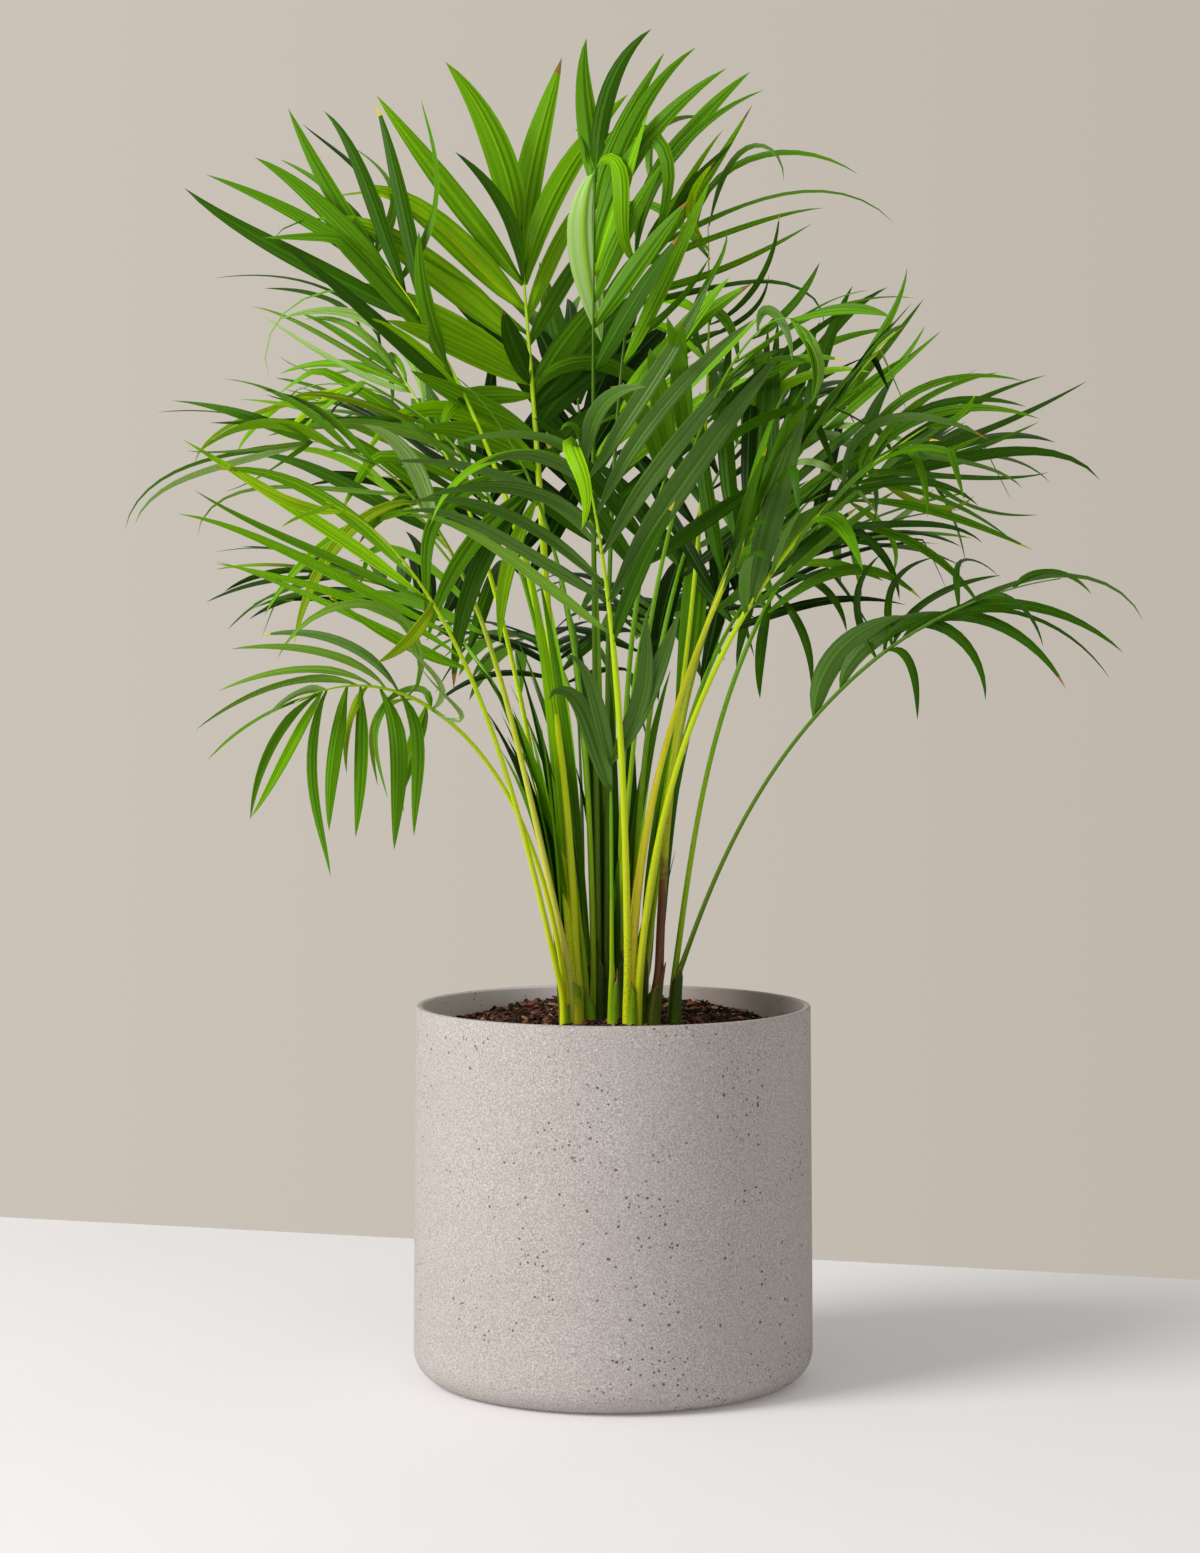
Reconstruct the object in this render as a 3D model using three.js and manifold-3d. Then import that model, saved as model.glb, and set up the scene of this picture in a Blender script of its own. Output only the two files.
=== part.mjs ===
// A potted areca palm: a clump of slender stems in a thin-walled cylindrical planter,
// with one petiole and one pinnate blade for each frond.
// Millimetres, +Z up, origin at the centre of the planter's flat underside, front towards -Y.
import * as THREE from 'three';
import { mergeVertices } from 'three/addons/utils/BufferGeometryUtils.js';
import Module from 'manifold-3d';

const wasm = await Module();
wasm.setup();

// ---- driving dimensions -------------------------------------------------------------------
const GAP = 0.3;                    // air between neighbouring pieces
const SLIVER = 0.2;             // shortest edge kept where one piece is cut back by another

const POT_RIM_RADIUS = 125;         // outer radius at the rim
const POT_FOOT_RADIUS = 126.9;      // outer radius just above the rounded bottom edge
const POT_HEIGHT = 237.3;
const POT_EDGE_ROUND = 19.5;        // rounding of the bottom edge
const POT_WALL = 4.2;               // wall at the rim
const POT_WALL_LOW = 6.5;           // wall at the foot
const POT_FLOOR = 9;
const POT_SIDES = 40;

const SOIL_LEVEL = 226;             // soil at the middle of the pot
const SOIL_TILT = 3.4;              // rises this much from the middle to the back wall
const SOIL_FALL = 7;                // falls this much 100 mm to the left and right
const SOIL_SIDES = 32;

const STEM_SIDES = 9;
const STEM_FLARE = 1.22;            // swelling of a stem where it leaves the soil
const PETIOLE_RADIUS = 1.7;
const PETIOLE_SIDES = 5;
const PETIOLE_STEPS = 6;
const BLADE_THICKNESS = 2.0;
const BLADE_CLEARANCE = 0.7;        // added all round a blade that its neighbours are cut to
const ARCH_END = 32;                // fronds that bend below this angle are split where the leaflets start

// Stems: foot and top of each in plan, radius at the top, height of the flat top.
const STEMS = [
  { n: 1, foot: [-30.5, -12.5], top: [-32, -14.3], radius: 4.6, height: 252 },
  { n: 2, foot: [-24.5, -5.5], top: [-27.6, -6.1], radius: 6.6, height: 272, flat: 0.8 },
  { n: 3, foot: [-17, 3], top: [-19.3, 2.4], radius: 3.6, height: 272 },
  { n: 4, foot: [-9, 8.5], top: [-8.6, 10], radius: 6.4, height: 268 },
  { n: 5, foot: [-2, -17], top: [-1, -20], radius: 3.2, height: 262 },
  { n: 6, foot: [3, 3], top: [3, 6], radius: 4.6, height: 268 },
  { n: 7, foot: [11.5, -17], top: [12.6, -21.8], radius: 6.6, height: 265 },
  { n: 8, foot: [18, 13], top: [19.5, 16], radius: 5.4, height: 265 },
  { n: 9, foot: [24, -10], top: [29, -14], radius: 4.6, height: 264 },
  { n: 10, foot: [38, -3], top: [41, -5], radius: 4.8, height: 261 },
  { n: 11, foot: [-4, 23], top: [-3, 27], radius: 6.2, height: 262 },
  { n: 12, foot: [9, 23.5], top: [8.9, 27], radius: 5.4, height: 262 },
  { n: 13, foot: [-17.5, 16.5], top: [-19, 18], radius: 5.4, height: 262 },
];

// Fronds. Each midrib leaves its stem at base, towards heading (degrees, 0 = +X, 90 = back),
// at the angle rise above the level, and bends to the angle end at the rachis tip; turn is the
// change of heading on the way, bend says how late the bending comes, length is petiole and
// rachis together, and bare is the share of it without leaflets. Leaflets of length leaf leave
// it in pairs at the angle splay (first pair, last pair), skew degrees wider on one side, lifted
// by lift, sagging by droop on either side, curving forward by sweep, on a blade rolled by roll.
const FRONDS = [
  { name: 'frond_top_centre', stem: 2, base: [-28.5, -7, 272], heading: 110, turn: -2, rise: 80, end: 73, bend: 1.87, length: 504, bare: 0.6, pairs: 9, leaf: 140, width: 21, splay: [68, 14], skew: 2, lift: 12, droop: [0.1, 0.1], sweep: 0.15, roll: 0, uneven: 0, reach: [1, 1, 0.92, 0.85, 0.72] },
  { name: 'frond_upper_left', stem: 2, base: [-23.7, -4.3, 272], heading: 160, turn: 2, rise: 87, end: 49, bend: 1.64, length: 480, bare: 0.6, pairs: 11, leaf: 152, width: 16, splay: [50, 10], skew: -8, lift: 8, droop: [0.15, 0.15], sweep: 0.2, roll: -50, uneven: 0, reach: [0.9, 1, 1, 0.9, 0.75] },
  { name: 'frond_top_back', stem: 4, base: [-9.4, 10.6, 268], heading: 76, turn: -4, rise: 93, end: 87, bend: 2.06, length: 496, bare: 0.62, pairs: 10, leaf: 112, width: 15, splay: [55, 12], skew: 0, lift: 15, droop: [0.15, 0.15], sweep: 0.3, roll: 0, uneven: 0, reach: [0.9, 1, 1, 0.9, 0.78] },
  { name: 'frond_top_right', stem: 4, base: [-4, 12, 268], heading: 54, turn: -1, rise: 90, end: 69, bend: 2.85, length: 498, bare: 0.6, pairs: 12, leaf: 118, width: 12, splay: [50, 14], skew: -4, lift: 10, droop: [0.25, 0.25], sweep: 0.2, roll: 10, uneven: 0, reach: [0.9, 1, 1, 0.95, 0.8] },
  { name: 'frond_upper_right_thin', stem: 8, base: [17, 14, 265], heading: 34, turn: -4, rise: 78, end: 92, bend: 1.48, length: 472, bare: 0.66, pairs: 8, leaf: 140, width: 7, splay: [62, 50], skew: 0, lift: 8, droop: [0.6, 1.15], sweep: 0, roll: 0, uneven: -0.1, reach: [0.8, 0.9, 1, 1, 0.95] },
  { name: 'frond_right_front', stem: 7, base: [17, -22, 265], heading: -27, turn: -6, rise: 84, end: 27, bend: 1.29, length: 402, bare: 0.56, pairs: 13, leaf: 142, width: 11, splay: [52, 14], skew: 0, lift: 8, droop: [1, 0.4], sweep: 0.3, roll: 12, uneven: 0, reach: [0.95, 1, 1, 0.95, 0.85] },
  { name: 'frond_right_back', stem: 10, base: [39.4, -3.4, 261], heading: 19, turn: 11, rise: 82, end: 13, bend: 2.07, length: 405, bare: 0.56, pairs: 13, leaf: 138, width: 10, splay: [52, 14], skew: 0, lift: 8, droop: [1.3, 0.4], sweep: 0.3, roll: 10, uneven: 0, reach: [0.85, 1, 1, 0.95, 0.85] },
  { name: 'frond_right_high', stem: 9, base: [29, -14, 264], heading: 12, turn: -2, rise: 88, end: 44, bend: 1.71, length: 382, bare: 0.58, pairs: 10, leaf: 135, width: 11, splay: [50, 14], skew: 0, lift: 15, droop: [0.15, 0.15], sweep: 0.3, roll: 40, uneven: 0, reach: [0.8, 0.95, 1, 0.85, 0.62] },
  { name: 'frond_right_inner', stem: 7, base: [11, -20, 265], heading: -26, turn: -5, rise: 87, end: 49, bend: 1, length: 382, bare: 0.62, pairs: 10, leaf: 130, width: 11, splay: [50, 14], skew: 0, lift: 15, droop: [0.6, 0.6], sweep: 0.3, roll: 20, uneven: 0, reach: [0.8, 0.95, 1, 0.85, 0.62] },
  { name: 'frond_right_low', stem: 10, base: [42.6, -6.6, 261], heading: -29, turn: 1, rise: 69, end: 7, bend: 1.46, length: 371, bare: 0.62, pairs: 7, leaf: 100, width: 11, splay: [58, 16], skew: 0, lift: 14, droop: [1.5, 1], sweep: 0.4, roll: 25, uneven: 0, reach: [0.95, 1, 1, 0.95, 0.9] },
  { name: 'frond_front_centre', stem: 7, base: [9, -24, 265], heading: -100, turn: -4, rise: 85, end: 45, bend: 1.43, length: 338, bare: 0.6, pairs: 8, leaf: 170, width: 15, splay: [55, 22], skew: -9, lift: 0, droop: [0.35, 0.05], sweep: 0.1, roll: 0, uneven: 0, reach: [1, 0.97, 0.85, 0.7, 0.5] },
  { name: 'frond_left_front', stem: 1, base: [-33.5, -16.3, 252], heading: 229, turn: 14, rise: 71, end: 8, bend: 2.05, length: 403, bare: 0.56, pairs: 12, leaf: 158, width: 10, splay: [55, 14], skew: 0, lift: 8, droop: [0.4, 0.2], sweep: 0.2, roll: 30, uneven: -0.15, reach: [0.9, 1, 1, 0.95, 0.85] },
  { name: 'frond_left_arching', stem: 2, base: [-30.5, -11, 272], heading: 207, turn: 8, rise: 76, end: 0, bend: 3.74, length: 386, bare: 0.52, pairs: 13, leaf: 128, width: 9, splay: [50, 14], skew: 0, lift: 12, droop: [0.9, 0.7], sweep: 0.3, roll: 20, uneven: -0.05, reach: [0.9, 1, 1, 1, 1] },
  { name: 'frond_left_low', stem: 1, base: [-30.5, -12.2, 252], heading: 226, turn: 4, rise: 77, end: -21, bend: 1.47, length: 337, bare: 0.66, pairs: 8, leaf: 122, width: 11, splay: [60, 20], skew: 0, lift: 5, droop: [1, 3.6], sweep: 0.1, roll: 0, uneven: 0.12, reach: [0.9, 1, 1, 0.9, 0.7] },
  { name: 'frond_left_high', stem: 2, base: [-30, -2, 272], heading: 153, turn: -10, rise: 79, end: 33, bend: 2.65, length: 464, bare: 0.58, pairs: 11, leaf: 140, width: 10, splay: [50, 16], skew: 0, lift: 10, droop: [0.5, 0.5], sweep: 0.3, roll: -35, uneven: 0, reach: [0.8, 0.95, 1, 0.85, 0.62] },
  { name: 'frond_left_middle', stem: 3, base: [-19.3, 2.3, 272], heading: 174, turn: -8, rise: 83, end: -18, bend: 3.54, length: 452, bare: 0.58, pairs: 11, leaf: 140, width: 10, splay: [50, 16], skew: 0, lift: 10, droop: [0.7, 1.1], sweep: 0.3, roll: -25, uneven: 0, reach: [0.8, 0.95, 1, 0.85, 0.62] },
  { name: 'frond_front_right', stem: 6, base: [2, 4, 268], heading: -55, turn: -20, rise: 83, end: -8, bend: 2.18, length: 519, bare: 0.6, pairs: 11, leaf: 130, width: 11, splay: [55, 18], skew: 0, lift: 15, droop: [0.8, 0.8], sweep: 0.3, roll: 20, uneven: 0, reach: [0.8, 0.95, 1, 0.85, 0.62] },
  { name: 'frond_front_young', stem: 5, base: [-1, -20, 262], heading: -92, turn: 0, rise: 86, end: 70, bend: 1.5, length: 145, bare: 0.72, pairs: 3, leaf: 92, width: 16, splay: [30, 16], skew: 0, lift: 0, droop: [0.1, 0.1], sweep: 0.2, roll: 0, uneven: 0, reach: [1, 1, 1, 0.9, 0.8] },
  { name: 'frond_back_centre', stem: 11, base: [-6, 24, 262], heading: 96, turn: 4, rise: 86, end: 28, bend: 1.9, length: 470, bare: 0.56, pairs: 12, leaf: 140, width: 12, splay: [55, 16], skew: 0, lift: 18, droop: [0.5, 0.5], sweep: 0.3, roll: 0, uneven: 0, reach: [0.8, 0.95, 1, 0.85, 0.62] },
  { name: 'frond_back_right', stem: 12, base: [12, 26, 262], heading: 62, turn: -6, rise: 85, end: 18, bend: 1.8, length: 450, bare: 0.56, pairs: 12, leaf: 140, width: 11, splay: [55, 16], skew: 0, lift: 18, droop: [0.6, 0.6], sweep: 0.3, roll: 8, uneven: 0, reach: [0.8, 0.95, 1, 0.85, 0.62] },
  { name: 'frond_back_left', stem: 13, base: [-16, 20, 262], heading: 126, turn: 6, rise: 84, end: 14, bend: 1.8, length: 440, bare: 0.56, pairs: 12, leaf: 140, width: 11, splay: [55, 16], skew: 0, lift: 18, droop: [0.6, 0.6], sweep: 0.3, roll: -8, uneven: 0, reach: [0.8, 0.95, 1, 0.85, 0.62] },
  { name: 'frond_back_low_right', stem: 12, base: [4, 28, 262], heading: 82, turn: 0, rise: 80, end: -22, bend: 1.6, length: 390, bare: 0.56, pairs: 11, leaf: 132, width: 11, splay: [58, 18], skew: 0, lift: 15, droop: [0.9, 0.9], sweep: 0.3, roll: 0, uneven: 0, reach: [0.8, 0.95, 1, 0.85, 0.62] },
  { name: 'frond_side_right', stem: 8, base: [22, 18, 265], heading: 48, turn: 0, rise: 80, end: -8, bend: 1.9, length: 390, bare: 0.56, pairs: 11, leaf: 132, width: 10, splay: [58, 18], skew: 0, lift: 15, droop: [0.8, 0.8], sweep: 0.3, roll: 8, uneven: 0, reach: [0.8, 0.95, 1, 0.85, 0.62] },
  { name: 'frond_side_left', stem: 13, base: [-22, 16, 262], heading: 138, turn: 0, rise: 77, end: -10, bend: 1.7, length: 385, bare: 0.56, pairs: 11, leaf: 132, width: 10, splay: [58, 18], skew: 0, lift: 15, droop: [0.8, 0.8], sweep: 0.3, roll: -8, uneven: 0, reach: [0.8, 0.95, 1, 0.85, 0.62] },
  { name: 'frond_back_low_left', stem: 11, base: [0, 30, 262], heading: 108, turn: -4, rise: 74, end: -14, bend: 1.6, length: 350, bare: 0.58, pairs: 10, leaf: 125, width: 10, splay: [58, 18], skew: 0, lift: 12, droop: [1, 1], sweep: 0.3, roll: 0, uneven: 0, reach: [0.8, 0.95, 1, 0.85, 0.62] },
  { name: 'frond_inner_right', stem: 6, base: [4, 8, 268], heading: -70, turn: 6, rise: 88, end: 20, bend: 2.4, length: 400, bare: 0.6, pairs: 10, leaf: 130, width: 12, splay: [52, 16], skew: 0, lift: 10, droop: [0.5, 0.5], sweep: 0.3, roll: 0, uneven: 0, reach: [0.8, 0.95, 1, 0.85, 0.62] },
  { name: 'frond_inner_left', stem: 4, base: [-12.6, 7.4, 268], heading: -118, turn: -6, rise: 87, end: 22, bend: 2.2, length: 410, bare: 0.6, pairs: 10, leaf: 130, width: 12, splay: [52, 16], skew: 0, lift: 10, droop: [0.5, 0.5], sweep: 0.3, roll: 0, uneven: 0, reach: [0.8, 0.95, 1, 0.85, 0.62] },
];

// ---- helpers ------------------------------------------------------------------------------
const split = (f) => f.end < ARCH_END;
const rad = THREE.MathUtils.degToRad;

function clean(geometry) {
  geometry.deleteAttribute('normal');
  geometry.deleteAttribute('uv');
  return mergeVertices(geometry, 1e-4);
}

// Moves every vertex of a three.js solid by a function of its place.
function mapped(geometry, place) {
  const g = clean(geometry);
  const p = g.attributes.position;
  const v = new THREE.Vector3();
  for (let i = 0; i < p.count; i++) {
    v.fromBufferAttribute(p, i);
    const q = place(v);
    p.setXYZ(i, q.x, q.y, q.z);
  }
  return g;
}

function solid(geometry) {
  const g = geometry.index ? geometry : mergeVertices(geometry, 1e-4);
  return new wasm.Manifold(new wasm.Mesh({
    numProp: 3,
    vertProperties: new Float32Array(g.attributes.position.array),
    triVerts: new Uint32Array(g.index.array),
  }));
}

function geometryOf(manifold) {
  const m = manifold.getMesh();
  const g = new THREE.BufferGeometry();
  g.setAttribute('position', new THREE.BufferAttribute(new Float32Array(m.vertProperties), 3));
  g.setIndex(new THREE.BufferAttribute(new Uint32Array(m.triVerts), 1));
  g.computeVertexNormals();
  return g;
}

// The largest piece that a cut leaves, without the slivers along the cut.
function biggest(manifold) {
  let m = manifold;
  for (let i = 0; i < 4; i++) m = m.asOriginal().simplify(SLIVER);
  return m.decompose().sort((a, b) => b.volume() - a.volume())[0];
}

// Share of the full leaflet length at u in 0..1 along a midrib.
const REACH_STOPS = [0, 0.15, 0.4, 0.7, 1];
function reach(f, u) {
  let i = 0;
  while (i < 3 && u > REACH_STOPS[i + 1]) i++;
  const w = (u - REACH_STOPS[i]) / (REACH_STOPS[i + 1] - REACH_STOPS[i]);
  return f.reach[i] + (f.reach[i + 1] - f.reach[i]) * w;
}

// The midrib of a frond as evenly spaced points with a tangent, a side and an up direction.
function midrib(f, steps = 60) {
  const points = [new THREE.Vector3(...f.base)];
  for (let i = 0; i < steps; i++) {
    const t = (i + 0.5) / steps;
    const e = rad(f.rise + (f.end - f.rise) * t ** f.bend);
    const a = rad(f.heading + f.turn * t);
    points.push(points[i].clone().add(new THREE.Vector3(
      Math.cos(e) * Math.cos(a), Math.cos(e) * Math.sin(a), Math.sin(e),
    ).multiplyScalar(f.length / steps)));
  }
  return (s) => {
    const x = THREE.MathUtils.clamp(s, 0, 1) * steps;
    const i = Math.min(Math.floor(x), steps - 1);
    const at = points[i].clone().lerp(points[i + 1], x - i);
    const tangent = points[Math.min(i + 1, steps)].clone().sub(points[Math.max(i, 0)]).normalize();
    const a = rad(f.heading + f.turn * s);
    const level = new THREE.Vector3(-Math.sin(a), Math.cos(a), 0);
    level.addScaledVector(tangent, -level.dot(tangent)).normalize();
    const over = tangent.clone().cross(level);
    const r = rad(f.roll);
    return {
      at, tangent,
      side: level.clone().multiplyScalar(Math.cos(r)).addScaledVector(over, Math.sin(r)),
      up: over.clone().multiplyScalar(Math.cos(r)).addScaledVector(level, -Math.sin(r)),
    };
  };
}

// Point at fraction v of the leaflet that leaves the rachis at u in 0..1 on side -1 or 1.
function leaflet(f, rib, u, side, v, shorter = 1) {
  const { at, tangent, side: b, up } = rib(f.bare + (1 - f.bare) * u);
  const splay = rad(f.splay[0] + (f.splay[1] - f.splay[0]) * u + side * f.skew);
  const lift = rad(f.lift);
  const long = f.leaf * reach(f, u) * (1 + side * f.uneven) * shorter;
  const droop = f.droop[(side + 1) / 2];
  const d = tangent.clone().multiplyScalar(Math.cos(splay))
    .addScaledVector(b, Math.sin(splay) * Math.cos(lift) * side)
    .addScaledVector(up, Math.sin(splay) * Math.sin(lift));
  const q = at.clone();
  const m = 10;
  for (let k = 0; k < m * v - 1e-9; k++) {
    const w = (k + 0.5) / m;
    const dir = d.clone().addScaledVector(tangent, f.sweep * w);
    dir.z -= droop * w ** 1.6;
    q.addScaledVector(dir.normalize(), long / m);
  }
  return q;
}

// A frond's blade: a thin plate of the outline that its leaflet tips describe.
function bladeGeometry(f, rib, grow = 0) {
  const across = Math.max(...f.droop) > 0.85 ? 4 : 2;
  const steps = 6;
  const t = BLADE_THICKNESS / 2 + grow;
  const middle = [];
  for (let row = 0; row <= steps; row++) {
    const u = Math.min((row / steps) * 1.13, 1);
    const line = [];
    for (let col = 0; col <= across; col++) {
      const x = (2 * col) / across - 1;
      const side = x > 1e-6 ? -1 : 1;
      const v = Math.abs(x);
      if (row === steps) {
        // the last row is the pair of leaflets that ends the frond, closed to a narrow tip
        const l = leaflet(f, rib, 1, 1, 1), r = leaflet(f, rib, 1, -1, 1);
        line.push(l.clone().lerp(r, 0.5).lerp(side > 0 ? l : r, v * 0.9));
      } else {
        line.push(v < 1e-6 ? rib(f.bare + (1 - f.bare) * u).at.clone() : leaflet(f, rib, u, side, v));
      }
    }
    middle.push(line);
  }
  const normal = (row, col) => {
    const n = new THREE.Vector3();
    const g = (r, c) => middle[THREE.MathUtils.clamp(r, 0, steps)][THREE.MathUtils.clamp(c, 0, across)];
    const c = g(row, col);
    for (const [dr, dc] of [[1, 1], [1, -1], [-1, -1], [-1, 1]]) {
      const p = g(row + dr, col).clone().sub(c), q = g(row, col + dc).clone().sub(c);
      const k = q.cross(p).multiplyScalar(dr * dc);
      if (k.lengthSq() > 1e-9) n.add(k.normalize());
    }
    return n.normalize();
  };
  // the same diagonals above and below, so that a warped plate keeps its thickness
  const plate = new THREE.BoxGeometry(2, 1, 2, across, steps, 1);
  const under = plate.groups[5];
  for (let i = under.start; i < under.start + under.count; i += 6) {
    const [a, b, d, , c] = plate.index.array.slice(i, i + 6);
    plate.index.array.set([a, b, c, a, c, d], i);
  }
  return mapped(plate, (p) => {
    const row = Math.round((p.y + 0.5) * steps);
    const col = Math.round(((p.x + 1) / 2) * across);
    const q = middle[row][col].clone();
    if (grow) {
      const inward = middle[row][across / 2];
      if (col !== across / 2) q.addScaledVector(q.clone().sub(inward).normalize(), col === 0 || col === across ? grow : 0);
      if (row === 0) q.addScaledVector(middle[0][col].clone().sub(middle[1][col]).normalize(), grow);
      if (row === steps) q.addScaledVector(middle[steps][col].clone().sub(middle[steps - 1][col]).normalize(), grow);
    }
    return q.addScaledVector(normal(row, col), p.z > 0 ? t : -t);
  });
}

// The petiole as one tapering limb. On a frond that stays whole it runs a little way into the blade.
function petioleGeometry(f, rib, grow = 0) {
  const g = new THREE.CylinderGeometry(1, 1, 1, PETIOLE_SIDES, PETIOLE_STEPS);
  const top = split(f) ? f.bare - (0.5 - grow) / f.length : f.bare + 0.05;
  return mapped(g, (p) => {
    const s = (p.y + 0.5) * top;
    const c = rib(s);
    const r = (PETIOLE_RADIUS + grow) * (1.1 - 0.25 * (p.y + 0.5));
    const q = c.at.clone();
    if (p.y < -0.49) {             // flat foot on the stem
      q.z += GAP - Math.min(grow, GAP);
      return q.add(new THREE.Vector3(p.x * r, -p.z * r, 0));
    }
    return q.addScaledVector(c.side, -p.x * r).addScaledVector(c.up, p.z * r);
  });
}

function mesh(name, geometry, colour, roughness) {
  const m = new THREE.Mesh(geometry, new THREE.MeshStandardMaterial({ color: colour, roughness, metalness: 0 }));
  m.name = name;
  return m;
}

const group = new THREE.Group();

// ---- planter ------------------------------------------------------------------------------
{
  const profile = [new THREE.Vector2(0, 0)];
  for (let i = 0; i <= 4; i++) {
    const a = (i / 4) * Math.PI / 2;
    profile.push(new THREE.Vector2(
      POT_FOOT_RADIUS - POT_EDGE_ROUND + POT_EDGE_ROUND * Math.sin(a),
      POT_EDGE_ROUND - POT_EDGE_ROUND * Math.cos(a)));
  }
  profile.push(new THREE.Vector2(POT_RIM_RADIUS, POT_HEIGHT - 1));
  profile.push(new THREE.Vector2(POT_RIM_RADIUS - 1, POT_HEIGHT));
  profile.push(new THREE.Vector2(POT_RIM_RADIUS - POT_WALL + 0.8, POT_HEIGHT));
  profile.push(new THREE.Vector2(POT_RIM_RADIUS - POT_WALL, POT_HEIGHT - 0.8));
  profile.push(new THREE.Vector2(POT_FOOT_RADIUS - POT_WALL_LOW, 26));
  profile.push(new THREE.Vector2(POT_FOOT_RADIUS - POT_EDGE_ROUND, POT_FLOOR));
  profile.push(new THREE.Vector2(0, POT_FLOOR));
  const pot = new THREE.LatheGeometry(profile, POT_SIDES);
  pot.rotateX(Math.PI / 2);
  group.add(mesh('pot', geometryOf(solid(clean(pot))), 0xb3a9a3, 0.9));
}

// ---- soil: fills the planter, slightly higher at the middle and the back --------------------
const soilHeight = (x, y) => SOIL_LEVEL + SOIL_TILT * (y / 120) - SOIL_FALL * (x / 100) ** 2;
{
  const low = POT_FOOT_RADIUS - POT_EDGE_ROUND - 1;
  const wall = (z) => THREE.MathUtils.lerp(POT_FOOT_RADIUS - POT_WALL_LOW, POT_RIM_RADIUS - POT_WALL,
    (z - 26) / (POT_HEIGHT - 0.8 - 26)) * Math.cos(Math.PI / POT_SIDES) - GAP - 0.2;
  const profile = [new THREE.Vector2(0, POT_FLOOR + GAP), new THREE.Vector2(low, POT_FLOOR + GAP),
    new THREE.Vector2(wall(26), 27), new THREE.Vector2(wall(SOIL_LEVEL), SOIL_LEVEL),
    new THREE.Vector2(80, SOIL_LEVEL), new THREE.Vector2(40, SOIL_LEVEL), new THREE.Vector2(0, SOIL_LEVEL)];
  const soil = new THREE.LatheGeometry(profile, SOIL_SIDES);
  soil.rotateX(Math.PI / 2);
  const g = mapped(soil, (p) => {
    if (p.z > SOIL_LEVEL - 1) p.z = soilHeight(p.x, p.y);
    return p;
  });
  group.add(mesh('soil', geometryOf(solid(g)), 0x3b2a21, 1));
}

// ---- stems: cut flat at the soil, flared at the foot, leaning to where their fronds leave ---
for (const s of STEMS) {
  const steps = 3;
  const g = mapped(new THREE.CylinderGeometry(1, 1, 1, STEM_SIDES, steps), (p) => {
    const t = p.y + 0.5;
    const x = THREE.MathUtils.lerp(s.foot[0], s.top[0], t ** 1.3);
    const y = THREE.MathUtils.lerp(s.foot[1], s.top[1], t ** 1.3);
    const r = s.radius * (1 + (STEM_FLARE - 1) * (1 - t) ** 2) * (0.94 + 0.06 * t);
    const low = Math.max(soilHeight(s.foot[0] - 8, s.foot[1]), soilHeight(s.foot[0] + 8, s.foot[1] + 8)) + GAP;
    return new THREE.Vector3(x + p.x * r, y - p.z * r * (s.flat ?? 1), THREE.MathUtils.lerp(low, s.height, t));
  });
  s.solid = solid(g);
}
// a stem gives way to the ones before it, so that neighbours keep a gap
{
  const grown = (s) => {
    const g = mapped(new THREE.CylinderGeometry(1, 1, 1, STEM_SIDES, 3), (p) => {
      const t = p.y + 0.5;
      const x = THREE.MathUtils.lerp(s.foot[0], s.top[0], t ** 1.3);
      const y = THREE.MathUtils.lerp(s.foot[1], s.top[1], t ** 1.3);
      const r = s.radius * (1 + (STEM_FLARE - 1) * (1 - t) ** 2) * (0.94 + 0.06 * t) + 2 * GAP;
      return new THREE.Vector3(x + p.x * r, y - p.z * r * (s.flat ?? 1), THREE.MathUtils.lerp(SOIL_LEVEL - 5, s.height + 1, t));
    });
    return solid(g);
  };
  STEMS.forEach((s, i) => {
    let body = s.solid;
    for (const other of STEMS.slice(0, i)) body = body.subtract(grown(other));
    s.solid = biggest(body);
    group.add(mesh(`stem_${s.n}`, geometryOf(s.solid), 0x7f9a33, 0.55));
  });
}

// ---- fronds -------------------------------------------------------------------------------
const parts = FRONDS.map((f) => {
  const rib = midrib(f);
  return {
    f, rib,
    petiole: solid(petioleGeometry(f, rib)),
    petioleRoom: solid(petioleGeometry(f, rib, GAP + 0.15)),
    blade: solid(bladeGeometry(f, rib)),
    bladeRoom: solid(bladeGeometry(f, rib, BLADE_CLEARANCE)),
  };
});
parts.forEach((a, i) => {
  let { blade, petiole } = a;
  parts.forEach((b, j) => {
    if (i === j) return;
    blade = blade.subtract(b.petioleRoom);
    if (j < i) petiole = petiole.subtract(b.petioleRoom);
    if (j < i) blade = blade.subtract(b.bladeRoom);
  });
  for (const s of STEMS) blade = blade.subtract(s.solid);
  const { name } = a.f;
  if (split(a.f)) {
    group.add(mesh(name.replace('frond', 'petiole'), geometryOf(biggest(petiole)), 0x9bb33a, 0.45));
    group.add(mesh(name, geometryOf(biggest(blade)), 0x4f8a2a, 0.5));
  } else {
    group.add(mesh(name, geometryOf(biggest(petiole.add(blade))), 0x4f8a2a, 0.5));
  }
});

export default group;
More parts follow.
